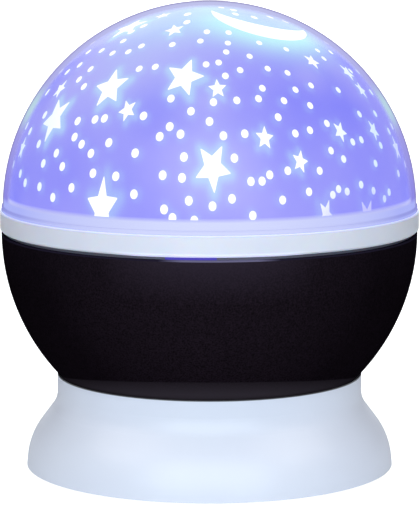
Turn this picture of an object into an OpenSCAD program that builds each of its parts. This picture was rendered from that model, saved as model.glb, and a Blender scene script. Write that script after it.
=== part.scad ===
// Star night light projector: a ball that turns on a flared base. A clear dome lifts off a
// printed star film, four LEDs stand on a fixed post at the middle of the ball, and a gear
// motor in the base turns the ball. Four AAA cells or a USB lead feed it. Millimetres, Z up,
// origin on the table under the middle of the base. Controls face +Y, the plain side -Y.

/* [Ball] */
// Outer radius of the black bowl
ball_r = 64.6; // [62:0.2:68]
// Wall of the bowl
bowl_wall = 2.0; // [1.6:0.1:2.6]
// How far the bowl's flat underside stops inside the neck's radius
floor_inset = 4.4; // [3:0.1:6]
// Thickness of the bowl's floor
bowl_floor_t = 2.4; // [2:0.1:3.2]
// Gap that shows between the bowl's rim and the ring
ring_gap = 1.0; // [0.6:0.1:1.6]
// Height of the ring's outer band
ring_h = 6.2; // [5:0.1:8]
// How far the ring stands out past the bowl
ring_proud = 0.4; // [0.2:0.1:1]
// How far the clear dome's radius is under the bowl's
dome_step = 0.4; // [0:0.1:1]
// Wall of the clear dome
dome_wall = 1.2; // [1:0.1:1.6]
// Wall of the star film
film_wall = 0.5; // [0.3:0.1:0.8]
// Thickness of the reflector plate
reflector_t = 1.6; // [1.2:0.1:2.4]

/* [Base] */
// Radius of the skirt where it stands
skirt_foot_r = 57.4; // [56:0.2:60]
// How far the neck stands in from the skirt's foot
neck_inset = 9.8; // [9:0.1:11]
// Straight height of the neck below its rim
neck_h = 5.6; // [4.6:0.1:6.4]
// Lean of the skirt's lower wall from upright, in degrees
skirt_lean = 5; // [3:0.5:8]
// Slope of the flare from upright, in degrees
flare_lean = 37; // [33:1:40]
// Radius of the bulge above the lower wall
belly_r = 22; // [18:0.5:24]
// Radius of the hollow below the neck
waist_r = 8.5; // [6:0.5:11]
// Wall of the skirt
skirt_wall = 2.2; // [1.8:0.1:2.6]
// Thickness of the deck inside the skirt
deck_t = 2.0; // [1.6:0.1:3]
// How far the rubber feet stand out below the skirt
foot_proud = 0.8; // [0.5:0.1:1.5]
// Thickness of the bottom plate
plate_t = 2.0; // [1.6:0.1:3]

/* [Drive] */
// Gear module
gear_m = 1.0; // [0.8:0.1:1.2]
// Teeth of the motor's pinion
pinion_teeth = 12; // [12:1:14]
// Face width of both gears
gear_t = 3.5; // [3:0.1:5]
// Backlash, measured along the pitch circle
backlash = 0.2; // [0.12:0.01:0.3]
// Radius of the axle that the ball turns on
axle_r = 12.0; // [11:0.1:13]
// Running clearance of the hub on the axle, on the radius
hub_play = 0.06; // [0.03:0.01:0.1]
// Radius of the motor's shaft
shaft_r = 1.5; // [1:0.1:2]

/* [Power] */
// Diameter of a cell
cell_d = 10.5; // [10.3:0.1:11]
// Length of a cell with its nub
cell_l = 44.5; // [44:0.1:45]
// Clear length of the battery bay
bay_l = 52; // [50:0.5:54]
// Thickness of the battery door
door_t = 1.6; // [1.2:0.1:2]
// Thickness of the circuit boards
pcb_t = 1.6; // [1:0.1:2]

/* [Controls] */
// Radius of a button's cap
button_r = 3.5; // [3:0.1:4]
// Distance from one button to the next
button_pitch = 12; // [11:0.5:13]
// Height of the buttons' centres above the table
button_z = 8.6; // [8:0.1:9.4]
// How far a button stands out of the skirt
button_proud = 1.2; // [0.8:0.1:1.6]
// Travel of a button
button_travel = 0.5; // [0.3:0.1:0.8]

/* [Hidden] */
$fn = 96;
e = 0.01; // overshoot of a cut

// Clearances
fit_gap = 0.15;   // pieces that slip into each other, on the radius
door_gap = 0.2;   // round the battery door
run_gap = 0.4;    // between the turning bowl and the neck's rim
end_float = 0.3;  // how far the ball can lift on its axle
film_gap = 0.3;   // between the film and the dome

// Radii that the rest hangs on
neck_r = skirt_foot_r - neck_inset;
bowl_floor_r = neck_r - floor_inset;
dome_r = ball_r - dome_step;

// Levels, from the table up
skirt_z = foot_proud;
plate_z = skirt_z + 0.2;
plate_top = plate_z + plate_t;
door_top = plate_z + door_t;
cell_z = door_top + 0.4 + cell_d / 2;
bay_roof_t = 1.0;
bay_roof_z = cell_z + cell_d / 2 + 0.5;
lead_room = 4.0;
deck_z = bay_roof_z + bay_roof_t + lead_room;
deck_top = deck_z + deck_t;
washer_t = 1.5;
gear_z = deck_top + washer_t;
floor_z = gear_z + gear_t;
rim_z = floor_z + sqrt(ball_r * ball_r - bowl_floor_r * bowl_floor_r);
hub_top = floor_z + bowl_floor_t + 5.6;
axle_top = hub_top + end_float;
ring_z = rim_z + ring_gap;
ring_top = ring_z + ring_h;
ring_seat_t = 2.0;
seat_z = ring_z + ring_seat_t;
reflector_top = seat_z + reflector_t;
led_z = ring_top + 0.2 + pcb_t;
neck_rim_z = rim_z - sqrt((ball_r + run_gap) * (ball_r + run_gap) - neck_r * neck_r);
neck_z = neck_rim_z - neck_h;

// Radii of the ball's rings, from the outside in
ring_r = ball_r + ring_proud;
dome_in = dome_r - dome_wall;
dome_flange_r = dome_r + 0.3;
dome_flange_h = 1.3;
lip_r = dome_r - 0.35;
ring_in = lip_r + fit_gap;
film_r = dome_in - film_gap;
film_in = film_r - film_wall;
reflector_r = film_r + 0.1;
collar_r = ball_r - 1.3;
bowl_rabbet_r = collar_r + 0.1;
collar_t = 1.5;
reflector_boss_h = 16;
collar_drop = 3.5;
rabbet_h = 3.8;
seat_in = collar_r - 9.1;
ball_boss_r = 3;
reflector_screw_pcr = seat_in + ball_boss_r + 1;
rib_t = 1.6;

// Screws: the plate's shank radius, head radius and head height, the smaller shanks and heads,
// and the lengths
screw_r = 1.4;
screw_head_r = 2.4;
screw_head_h = 1.5;
ball_screw_r = 1.2;
ball_screw_head_r = 2.1;
post_screw_r = 1.1;
post_screw_head_r = 2.0;
board_screw_r = 1.0;
board_screw_head_r = 1.9;
ear_screw_r = 0.9;
ear_screw_head_r = 1.8;
small_head_h = 1.2;
screw_play = 0.05;   // round a screw in the hole that it bites
hole_play = 0.2;     // round a screw in the piece that it holds
base_screw_l = 9;
door_screw_l = 6;
board_screw_l = 4.4;
gear_screw_l = 8;
post_screw_l = 8;
reflector_screw_l = 9;

// Skirt outline: unit normals of the lower wall and of the flare, and the two arcs' centres
wall_n = [cos(skirt_lean), sin(skirt_lean)];
flare_n = [cos(flare_lean), sin(flare_lean)];
half_turn = (flare_lean - skirt_lean) / 2;
waist_c = [neck_r + waist_r, neck_z];
wall_d = wall_n * [skirt_foot_r, skirt_z];
flare_d = flare_n * (waist_c - waist_r * flare_n);
belly_c = [
    (wall_d - belly_r) * flare_n[1] - (flare_d - belly_r) * wall_n[1],
    (flare_d - belly_r) * wall_n[0] - (wall_d - belly_r) * flare_n[0]
] / sin(flare_lean - skirt_lean);
belly_z0 = belly_c[1] + belly_r * wall_n[1];
belly_z1 = belly_c[1] + belly_r * flare_n[1];
waist_z0 = neck_z - waist_r * flare_n[1];

// The skirt's radius at height z, t inside its outer face
function skirt_r(z, t = 0) =
    z < belly_z0 ? (wall_d - t - z * wall_n[1]) / wall_n[0] :
    z < belly_z1 ? belly_c[0] + sqrt(pow(belly_r - t, 2) - pow(z - belly_c[1], 2)) :
    z < waist_z0 ? (flare_d - t - z * flare_n[1]) / flare_n[0] :
    z < neck_z ? waist_c[0] - sqrt(pow(waist_r + t, 2) - pow(neck_z - z, 2)) : neck_r - t;

// Drive: the gear gets as many teeth as the room inside the skirt and the neck allows
gearbox_r = 7.5;
mesh_play = 0.05;
pinion_r = gear_m * pinion_teeth / 2;
gear_room = min(skirt_r(deck_z, skirt_wall) - gearbox_r - 0.5,
    neck_r - skirt_wall - pinion_r - gear_m - 0.4);
gear_teeth = floor(2 * (gear_room - mesh_play) / gear_m) - pinion_teeth;
gear_r = gear_m * gear_teeth / 2;
gear_x = gear_r + pinion_r + mesh_play;
pressure = 25;
pinion_drop = 0.4;
hub_r = axle_r + 3.5;
lead_bore_r = 6;
gear_web_t = 2.0;
gear_screw_off = 4.6;
gear_screw_pcr = hub_r + gear_screw_off;
gear_window_r = 3;
gearbox_h = 7;
can_r = 7;
can_h = 8.5;
ear_t = 2.0;
ear_r = 3;
ear_y = gearbox_r + ear_r;
shaft_play = 0.05;
spigot_r = shaft_r + 1.4;

// Base fixings
plate_r = skirt_r(plate_top, skirt_wall) - 0.4;
boss_r = 3.0;
boss_pcr = skirt_r(deck_z, skirt_wall) - boss_r + 0.8;
foot_pad_r = 4.5;
foot_pcr = plate_r - foot_pad_r - 1.1;
foot_seat = 0.6;
corners = [45, 135, 225, 315];

// Battery bay
cells = 4;
cell_pitch = cell_d + 0.3;
bay_w = (cells - 1) * cell_pitch + cell_d + 0.6;
bay_wall = 1.5;
door_w = bay_w + 2 * bay_wall - 0.4;
door_screw_y = -bay_l / 2 - bay_wall - 3;
door_back = bay_l / 2 + bay_wall - 0.2;
door_front = door_screw_y - 3;
tray_wall = 1.5;
tray_h = door_t + 1.6;
door_boss_r = 3;
nub_r = 1.9;
nub_h = 1.0;
contact_t = 0.4;
contact_w = 9;

// Main board, beside the bay on the -X side
board_lift = 3.0;
board_z = plate_top + board_lift;
board_top = board_z + pcb_t;
board_w = 18;
board_l = 40;
board_gap = 0.8;
board_x = board_gap - sqrt(pow(skirt_r(board_top, skirt_wall), 2) - pow(board_l / 2, 2));
board_screw_y = board_l / 2 - 3;
standoff_r = board_screw_r + 1.4;
lead_plug_x = 15;
plug_h = 4.5;
plug_w = 4;
plug_l = 6;
plug_ys = [-14, -3, 11];
chip_x = 6.5;
chip_y = -3;
chip_w = 6;
chip_l = 8;
chip_t = 1.6;
capacitor_x = 5;
capacitor_y = -9;
capacitor_r = 3.1;
capacitor_h = 7;
crystal_x = 3;
crystal_y = -2.5;
crystal_w = 3;
crystal_l = 6;
crystal_h = 2.4;
crystal_r = 1.4;
resistors = 4;
resistor_pitch = 1.7;
resistor_y = 6.6;
resistor_w = 0.9;
resistor_l = 1.6;
resistor_t = 0.6;
usb_y = 14;
usb_w = 7.6;
usb_h = 2.8;
usb_wall = 0.35;
usb_on_board = 5;
usb_z = board_top + usb_h / 2;
usb_mouth = -sqrt(pow(skirt_r(usb_z), 2) - pow(usb_y + usb_w / 2, 2)) + 0.2;

// Buttons and their board, on the +Y side
button_hole_r = button_r + 0.25;
collar_extra = 1.1;
button_collar_t = 1.2;
switch_w = 6;
switch_d = 3.5;
plunger_r = 1.7;
plunger_out = 1.3;
stem_min = 1.2;
button_board_y = collar_y(1.5 * button_pitch) - button_collar_t - stem_min - plunger_out
    - switch_d - pcb_t;
button_board_z = plate_z + tray_h + 0.4;
button_board_w = 3 * button_pitch + switch_w + 2.6;
button_board_h = 9.6;
switch_y = button_board_y + pcb_t;
stem_y = switch_y + switch_d + plunger_out;
post_w = 2.6;
post_d = pcb_t + 2.8;

// LED post
post_r = 6.5;
post_bore_r = 4.5;
post_flange_t = 2.0;
post_screw_pcr = (axle_r + lead_bore_r) / 2 + 0.4;
post_head_r = 12.5;
led_board_r = 11.5;
led_r = 2.5;
led_pcr = 5.9;
lead_r = 1.2;

// Outline of a round-topped column: a circle about the origin, and straight sides down to foot
module round_top(r, foot) {
    circle(r, $fn = 180);
    translate([0, foot]) square([r, -foot]);
}

module tube(r_out, r_in, h) {
    difference() {
        cylinder(r = r_out, h = h);
        translate([0, 0, -e]) cylinder(r = r_in, h = h + 2 * e);
    }
}

module rounded_plate(w, l, h, r) {
    linear_extrude(h)
        union() {
            square([w - 2 * r, l], center = true);
            square([w, l - 2 * r], center = true);
            for (x = [-1, 1], y = [-1, 1])
                translate([x * (w / 2 - r), y * (l / 2 - r)]) circle(r);
        }
}

// A pan-head screw that points up, its head's seat at z = 0
module screw(l, r = screw_r, head_r = screw_head_r, head_h = screw_head_h) {
    difference() {
        union() {
            translate([0, 0, -head_h]) cylinder(r = head_r, h = head_h);
            cylinder(r = r, h = l - r);
            translate([0, 0, l - r]) cylinder(r1 = r, r2 = r / 2, h = r);
        }
        for (a = [0, 90])
            translate([0, 0, -head_h]) rotate(a) cube([head_r * 1.2, 0.5, 1.2], center = true);
    }
}

// The area inside the skirt's outline, t in from its outer face, from height z0 to z1
module skirt_area(t, z0, z1) {
    w0 = belly_c + (belly_r - t) * wall_n;
    w1 = belly_c + (belly_r - t) * flare_n;
    w2 = waist_c - (waist_r + t) * flare_n;
    mid = skirt_lean + half_turn;
    corner = belly_c + (belly_r - t) / cos(half_turn) * [cos(mid), sin(mid)];
    difference() {
        union() {
            polygon([[0, z0], [skirt_r(z0, t), z0], w0, w1, w2, [neck_r - t, neck_z],
                [neck_r - t, z1], [0, z1]]);
            intersection() {
                translate(belly_c) circle(belly_r - t, $fn = 180);
                polygon([w0 - [1, 0], w0, corner, w1, w1 - [1, 1]]);
            }
        }
        translate(waist_c) circle(waist_r + t, $fn = 180);
    }
}

// ---- Base ----

// White flared skirt with its deck, the axle for the ball, and four bosses for the plate. The
// neck's rim is hollowed to the bowl's own curve
module base_shell() {
    color("white")
        difference() {
            union() {
                rotate_extrude()
                    difference() {
                        skirt_area(0, skirt_z, neck_rim_z + 2);
                        intersection() {
                            skirt_area(skirt_wall, skirt_z - 1, neck_rim_z + 3);
                            translate([0, -1]) square([skirt_foot_r, deck_z + 1]);
                        }
                        translate([0, deck_top]) square([neck_r - skirt_wall, rim_z]);
                        intersection() {
                            translate([0, rim_z]) circle(ball_r + run_gap, $fn = 180);
                            translate([0, deck_top]) square([neck_r + 1, rim_z]);
                        }
                    }
                translate([0, 0, deck_top - e]) cylinder(r = axle_r, h = axle_top - deck_top + e);
                for (a = corners) rotate(a) translate([boss_pcr, 0, plate_top])
                    cylinder(r = boss_r, h = deck_z - plate_top + e);
            }
            translate([0, 0, deck_z - e]) cylinder(r = lead_bore_r, h = axle_top);
            for (a = corners) rotate(a) translate([boss_pcr, 0, plate_top - e])
                cylinder(r = screw_r + screw_play, h = base_screw_l);
            post_screw_places() translate([0, 0, axle_top - post_screw_l])
                cylinder(r = post_screw_r + screw_play, h = post_screw_l + 1);
            translate([gear_x, 0, deck_z - e]) cylinder(r = spigot_r + hole_play, h = deck_t + 2 * e);
            ear_places() translate([0, 0, deck_z - e])
                cylinder(r = ear_screw_r + screw_play, h = deck_t + 2 * e);
            for (x = button_xs()) translate([x, button_board_y, button_z]) rotate([-90, 0, 0])
                cylinder(r = button_hole_r, h = skirt_foot_r);
            usb_opening();
        }
}

// Slot in the skirt that the USB socket's mouth stands in
module usb_opening() {
    translate([-skirt_foot_r, usb_y - usb_w / 2 - 0.3, board_top - 0.1])
        cube([skirt_foot_r + board_x + usb_on_board, usb_w + 0.6, usb_h + 0.4]);
}

// Bottom cover with the battery bay, the board's standoffs and the button board's two posts
module base_plate() {
    bay_h = bay_roof_z + bay_roof_t - plate_z;
    color("white")
        difference() {
            union() {
                translate([0, 0, plate_z]) cylinder(r = plate_r, h = plate_t);
                door_place()
                    rounded_plate(door_w + 2 * tray_wall, door_l() + 2 * tray_wall, tray_h, 4);
                translate([-bay_w / 2 - bay_wall, -bay_l / 2 - bay_wall, plate_z])
                    cube([bay_w + 2 * bay_wall, bay_l + 2 * bay_wall, bay_h]);
                translate([0, door_screw_y, plate_z])
                    cylinder(r = door_boss_r, h = door_screw_l + 2.6);
                for (s = [-1, 1]) {
                    translate([board_x + board_w / 2, s * board_screw_y, plate_top - e])
                        cylinder(r = standoff_r, h = board_lift + e);
                    translate([s * (button_board_w / 2 + 0.2) - post_w / 2,
                        button_board_y - 1.4, plate_top - e])
                        cube([post_w, post_d, button_board_z + button_board_h - plate_top + e]);
                }
            }
            door_place() translate([0, 0, -e]) rounded_plate(door_w, door_l(), door_t + e, 3);
            translate([-bay_w / 2, -bay_l / 2, plate_z])
                cube([bay_w, bay_l, bay_roof_z - plate_z]);
            translate([0, door_screw_y, door_top - e])
                cylinder(r = screw_r + screw_play, h = door_screw_l);
            for (s = [-1, 1]) translate([board_x + board_w / 2, s * board_screw_y, plate_top])
                cylinder(r = board_screw_r + screw_play, h = board_lift + 1);
            translate([-button_board_w / 2 - 0.1, button_board_y - 0.05, button_board_z])
                cube([button_board_w + 0.2, pcb_t + 0.1, button_board_h + 1]);
            for (a = corners) rotate(a) translate([boss_pcr, 0, plate_z - e]) {
                cylinder(r = screw_r + hole_play, h = plate_t + 1);
                cylinder(r = screw_head_r + hole_play, h = plate_t / 2 + e);
            }
            for (a = [0:90:270]) rotate(a) translate([foot_pcr, 0, plate_z - e])
                cylinder(r = foot_pad_r + 0.1, h = foot_seat + e);
        }
}

function door_l() = door_back - door_front;

// The middle of the door, whose screw is at one end
module door_place() {
    translate([0, (door_back + door_front) / 2, plate_z]) children();
}

module base_screws() {
    color("silver")
        for (a = corners) rotate(a) translate([boss_pcr, 0, plate_z + plate_t / 2])
            screw(base_screw_l, head_h = plate_t / 2);
}

module rubber_feet() {
    color("dimgray")
        for (a = [0:90:270]) rotate(a) translate([foot_pcr, 0, 0]) {
            cylinder(r1 = foot_pad_r - 0.4, r2 = foot_pad_r, h = 0.4);
            translate([0, 0, 0.4]) cylinder(r = foot_pad_r, h = plate_z + foot_seat - 0.4);
        }
}

// Flush door with two ribs that run just inside the bay's side walls
module battery_door() {
    rib_l = cell_l - 4;
    color("white")
        difference() {
            union() {
                door_place()
                    rounded_plate(door_w - 2 * door_gap, door_l() - 2 * door_gap, door_t, 2.8);
                for (s = [-1, 1]) translate([s * (bay_w / 2 - 0.9) - 0.5, -rib_l / 2, door_top - e])
                    cube([1, rib_l, 1.8]);
            }
            translate([0, door_screw_y, plate_z - e]) {
                cylinder(r = screw_r + hole_play, h = door_t + 1);
                cylinder(r = screw_head_r + hole_play, h = door_t / 2 + e);
            }
        }
}

module door_screw() {
    color("silver")
        translate([0, door_screw_y, plate_z + door_t / 2]) screw(door_screw_l, head_h = door_t / 2);
}

// Cell i of the row; every second one points the other way
function cell_x(i) = (i - (cells - 1) / 2) * cell_pitch;
function cell_way(i) = i % 2 == 0 ? 1 : -1;

module battery(i) {
    r = cell_d / 2;
    body_l = cell_l - nub_h;
    color("darkorange")
        translate([cell_x(i), cell_way(i) * (bay_l / 2 - contact_t), cell_z])
            rotate([cell_way(i) * 90, 0, 0])
                rotate_extrude()
                    polygon([[0, 0], [nub_r, 0], [nub_r, nub_h], [r - 0.9, nub_h], [r - 0.4, nub_h + 0.4],
                        [r, nub_h + 0.8], [r, cell_l - 0.6], [r - 0.6, cell_l], [0, cell_l]]);
}

module contact_plates() {
    color("silver")
        for (i = [0:cells - 1], s = [-1, 1])
            translate([cell_x(i) - contact_w / 2, s * (bay_l / 2 - contact_t / 2) - contact_t / 2,
                cell_z - contact_w / 2])
                cube([contact_w, contact_t, contact_w]);
}

// Conical coil from a wide turn on the plate to a narrow one on the cell's flat end
function coil_point(r0, r1, h, turns, k) =
    [(r0 + (r1 - r0) * k) * cos(360 * turns * k), (r0 + (r1 - r0) * k) * sin(360 * turns * k), h * k];

module coil(r0, r1, h, turns, wire_r, steps, sides) {
    rings = turns * steps;
    points = [for (n = [0:rings], s = [0:sides - 1])
        let (k = n / rings, a = 360 * turns * k, p = coil_point(r0, r1, h, turns, k),
            u = wire_r * cos(360 * s / sides))
        p + [u * cos(a), u * sin(a), wire_r * sin(360 * s / sides)]];
    ends = [[for (s = [0:sides - 1]) s], [for (s = [sides - 1:-1:0]) rings * sides + s]];
    sides_faces = [for (n = [0:rings - 1], s = [0:sides - 1])
        let (a = n * sides + s, b = n * sides + (s + 1) % sides)
        each [[a, a + sides, b], [b, a + sides, b + sides]]];
    polyhedron(points, concat(ends, sides_faces));
}

module contact_springs() {
    wire = 0.35;
    gap = bay_l - 2 * contact_t - cell_l;
    color("silver")
        for (i = [0:cells - 1])
            translate([cell_x(i), -cell_way(i) * (bay_l / 2 - contact_t - wire), cell_z])
                rotate([-cell_way(i) * 90, 0, 0])
                    coil(3.6, 2.2, gap - 2 * wire, 4, wire, 12, 6);
}

module main_board() {
    color("seagreen")
        difference() {
            translate([board_x, -board_l / 2, board_z]) cube([board_w, board_l, pcb_t]);
            for (s = [-1, 1]) translate([board_x + board_w / 2, s * board_screw_y, board_z - e])
                cylinder(r = board_screw_r + hole_play, h = pcb_t + 2 * e);
        }
}

// Controller chip, capacitor, crystal, three plug housings and a row of resistors
module board_parts() {
    translate([board_x, 0, board_top]) {
        color("black")
            translate([chip_x, chip_y, 0]) cube([chip_w, chip_l, chip_t]);
        color("navy")
            translate([capacitor_x, capacitor_y, 0]) cylinder(r = capacitor_r, h = capacitor_h);
        color("silver")
            translate([crystal_x, crystal_y, 0])
                rounded_plate(crystal_w, crystal_l, crystal_h, crystal_r);
        color("ivory")
            for (y = plug_ys) translate([lead_plug_x - plug_w / 2, y, 0]) cube([plug_w, plug_l, plug_h]);
        color("black")
            for (i = [0:resistors - 1])
                translate([chip_x + resistor_pitch * i, resistor_y, 0])
                    cube([resistor_w, resistor_l, resistor_t]);
    }
}

module board_screws() {
    color("silver")
        for (s = [-1, 1]) translate([board_x + board_w / 2, s * board_screw_y, board_top])
            mirror([0, 0, 1])
                screw(board_screw_l, board_screw_r, board_screw_head_r, small_head_h);
}

// Micro-USB shell, open towards -X, with its tongue
module usb_socket() {
    l = board_x + usb_on_board - usb_mouth;
    color("silver")
        translate([usb_mouth, usb_y, board_top]) {
            difference() {
                translate([0, -usb_w / 2, 0]) cube([l, usb_w, usb_h]);
                translate([-e, -usb_w / 2 + usb_wall, usb_wall])
                    cube([l - 1, usb_w - 2 * usb_wall, usb_h - 2 * usb_wall]);
            }
            translate([0.8, -2, usb_h / 2 - 0.15]) cube([l - 1.8 + e, 4, 0.6]);
        }
}

// ---- Controls ----

function button_xs() = [for (i = [-1.5:1:1.5]) i * button_pitch];

// The plane, just inside the skirt, that the button's collar stops against
function collar_y(x) =
    let (rc = button_r + collar_extra)
    sqrt(pow(skirt_r(button_z + rc, skirt_wall), 2) - pow(abs(x) + rc, 2)) - 0.1;

module button_board() {
    color("seagreen")
        translate([-button_board_w / 2, button_board_y, button_board_z + 0.05])
            cube([button_board_w, pcb_t, button_board_h - 0.05]);
}

module tact_switches() {
    color("dimgray")
        for (x = button_xs())
            translate([x, switch_y, button_z]) rotate([-90, 0, 0])
                difference() {
                    translate([-switch_w / 2, -switch_w / 2, 0]) cube([switch_w, switch_w, switch_d]);
                    translate([0, 0, switch_d - 1.5]) cylinder(r = plunger_r + 0.1, h = 2);
                }
}

module plunger(i) {
    color("black")
        translate([button_xs()[i], stem_y, button_z]) rotate([90, 0, 0])
            cylinder(r = plunger_r, h = plunger_out + 1.5 - button_travel - 0.1);
}

// A cap whose face follows the skirt, with a collar behind the wall and a stem to the switch
module button(i) {
    x = button_xs()[i];
    color("whitesmoke") {
        intersection() {
            translate([x, collar_y(x) - e, button_z]) rotate([-90, 0, 0])
                cylinder(r = button_r, h = skirt_foot_r);
            rotate_extrude() skirt_area(-button_proud, skirt_z, deck_z);
        }
        translate([x, collar_y(x) - button_collar_t, button_z]) rotate([-90, 0, 0])
            cylinder(r = button_r + collar_extra, h = button_collar_t);
        translate([x, stem_y, button_z]) rotate([-90, 0, 0])
            cylinder(r = plunger_r, h = collar_y(x) - button_collar_t - stem_y + e);
    }
}

// ---- Drive ----

// Involute angle at radius r of the base circle rb
function involute(rb, r) = tan(acos(rb / r)) * 180 / PI - acos(rb / r);

// Half the angle that a tooth takes up at radius r
function tooth_half(teeth, r) =
    let (rp = gear_m * teeth / 2, rb = rp * cos(pressure), at = max(r, rb))
    90 / teeth - backlash / 2 / rp * 90 / PI + involute(rb, rp) - involute(rb, at);

// One gear's outline: each tooth's left flank up, then its right flank down
function gear_points(teeth, steps) =
    let (rp = gear_m * teeth / 2, r0 = rp - 1.25 * gear_m, r1 = rp + gear_m,
        start = max(r0, rp * cos(pressure)))
    [for (i = [0:teeth - 1], side = [-1, 1], k = [0:steps + 1])
        let (up = side < 0 ? k : steps + 1 - k,
            r = up == 0 ? r0 : start + (r1 - start) * (up - 1) / steps,
            a = 360 * i / teeth + side * tooth_half(teeth, r))
        if (up > 0 || start > r0) r * [cos(a), sin(a)]];

module drive_gear() {
    color("ivory")
        translate([0, 0, gear_z])
            difference() {
                linear_extrude(gear_t) polygon(gear_points(gear_teeth, 3));
                translate([0, 0, -e]) cylinder(r = hub_r + 0.1, h = gear_t + 1);
                translate([0, 0, -e]) tube(gear_r - 3.5, hub_r + 2.4, gear_t - gear_web_t + e);
                for (a = [30:60:330]) rotate(a) translate([gear_screw_pcr, 0, -e])
                    cylinder(r = gear_window_r, h = gear_t + 1);
                gear_screw_places() translate([0, 0, -e])
                    cylinder(r = ball_screw_r + hole_play, h = gear_t + 1);
            }
}

module gear_screw_places() {
    for (a = [0, 120, 240]) rotate(a) translate([gear_screw_pcr, 0, 0]) children();
}

module gear_screws() {
    color("silver")
        gear_screw_places() translate([0, 0, floor_z - gear_web_t])
            screw(gear_screw_l, ball_screw_r, ball_screw_head_r, small_head_h);
}

module drive_pinion() {
    color("ivory")
        translate([gear_x, 0, gear_z - pinion_drop])
            difference() {
                linear_extrude(gear_t) rotate(180 + 180 / pinion_teeth)
                    polygon(gear_points(pinion_teeth, 4));
                translate([0, 0, -e]) cylinder(r = shaft_r, h = gear_t + 1);
            }
}

module motor_shaft() {
    color("silver")
        translate([gear_x, 0, deck_z - 4.5])
            cylinder(r = shaft_r, h = gear_z - pinion_drop + gear_t - deck_z + 4.5);
}

module ear_places() {
    for (s = [-1, 1]) translate([gear_x, s * ear_y, 0]) children();
}

module gearbox() {
    color("gainsboro")
        difference() {
            union() {
                translate([gear_x, 0, deck_z - gearbox_h]) cylinder(r = gearbox_r, h = gearbox_h);
                translate([gear_x, 0, deck_z - e]) cylinder(r = spigot_r, h = deck_t - 0.3);
                translate([gear_x - ear_r, -ear_y, deck_z - ear_t])
                    cube([2 * ear_r, 2 * ear_y, ear_t]);
                ear_places() translate([0, 0, deck_z - ear_t]) cylinder(r = ear_r, h = ear_t);
            }
            translate([gear_x, 0, deck_z - 5]) cylinder(r = shaft_r + shaft_play, h = 10);
            ear_places() translate([0, 0, deck_z - ear_t - e])
                cylinder(r = ear_screw_r + hole_play, h = ear_t + 1);
        }
}

module motor_can() {
    z = deck_z - gearbox_h - can_h;
    color("silver")
        translate([gear_x, 0, z])
            rotate_extrude()
                polygon([[0, 0], [can_r - 1, 0], [can_r, 1], [can_r, can_h], [0, can_h]]);
}

module motor_screws() {
    color("silver")
        ear_places() translate([0, 0, deck_z - ear_t])
            screw(ear_t + deck_t - 0.3, ear_screw_r, ear_screw_head_r, small_head_h);
}

module thrust_washer() {
    color("lightgray")
        translate([0, 0, deck_top]) tube(hub_r, axle_r + 0.1, washer_t - 0.05);
}

// ---- LED post ----

module post_screw_places() {
    for (a = [60, 180, 300]) rotate(a) translate([post_screw_pcr, 0, 0]) children();
}

// Column with a foot that keeps the hub on the axle, and a trumpet head for the LED board
module led_post() {
    h = led_z - pcb_t;
    color("white")
        difference() {
            rotate_extrude()
                polygon([[post_bore_r, axle_top], [hub_r - 0.5, axle_top],
                    [hub_r - 0.5, axle_top + post_flange_t], [post_r, axle_top + post_flange_t],
                    [post_r, h - 14], [post_head_r - 1.5, h - 4], [post_head_r, h - 2.4],
                    [post_head_r, h], [post_bore_r, h]]);
            post_screw_places() translate([0, 0, axle_top - e]) {
                cylinder(r = post_screw_r + hole_play, h = post_flange_t + 1);
                translate([0, 0, post_flange_t])
                    cylinder(r = post_screw_head_r + 0.3, h = small_head_h + 1.8);
            }
        }
}

module post_screws() {
    color("silver")
        post_screw_places() translate([0, 0, axle_top + post_flange_t])
            mirror([0, 0, 1])
                screw(post_screw_l, post_screw_r, post_screw_head_r, small_head_h);
}

module led_board() {
    color("white")
        translate([0, 0, led_z - pcb_t]) tube(led_board_r, 1.5, pcb_t);
}

module led(i, tint) {
    color(tint)
        rotate(45 + 90 * i) translate([led_pcr, 0, led_z]) {
            cylinder(r = led_r + 0.4, h = 1);
            translate([0, 0, 1 - e]) cylinder(r = led_r, h = 5.1 + e);
            translate([0, 0, 6.1]) sphere(led_r);
        }
}

// Bundle of leads: up the bore to the LED board, and under the deck to the main board
module led_leads() {
    bend = 2.0;
    run_z = deck_z - lead_room / 2;
    drop_x = board_x + lead_plug_x;
    drop_z = board_top + plug_h;
    color("firebrick") {
        translate([0, 0, run_z + bend]) cylinder(r = lead_r, h = led_z - pcb_t - run_z - bend);
        translate([-bend, 0, run_z + bend]) rotate([-90, 0, 0])
            rotate_extrude(angle = 90) translate([bend, 0]) circle(lead_r, $fn = 24);
        translate([drop_x + bend, 0, run_z]) rotate([0, 90, 0])
            cylinder(r = lead_r, h = -drop_x - 2 * bend);
        translate([drop_x + bend, 0, run_z - bend]) rotate([-90, 180, 0])
            rotate_extrude(angle = 90) translate([bend, 0]) circle(lead_r, $fn = 24);
        translate([drop_x, 0, drop_z]) cylinder(r = lead_r, h = run_z - bend - drop_z);
    }
}

// ---- Ball ----

module reflector_screw_places() {
    for (a = [90, 210, 330]) rotate(a) translate([reflector_screw_pcr, 0, 0]) children();
}

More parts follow.
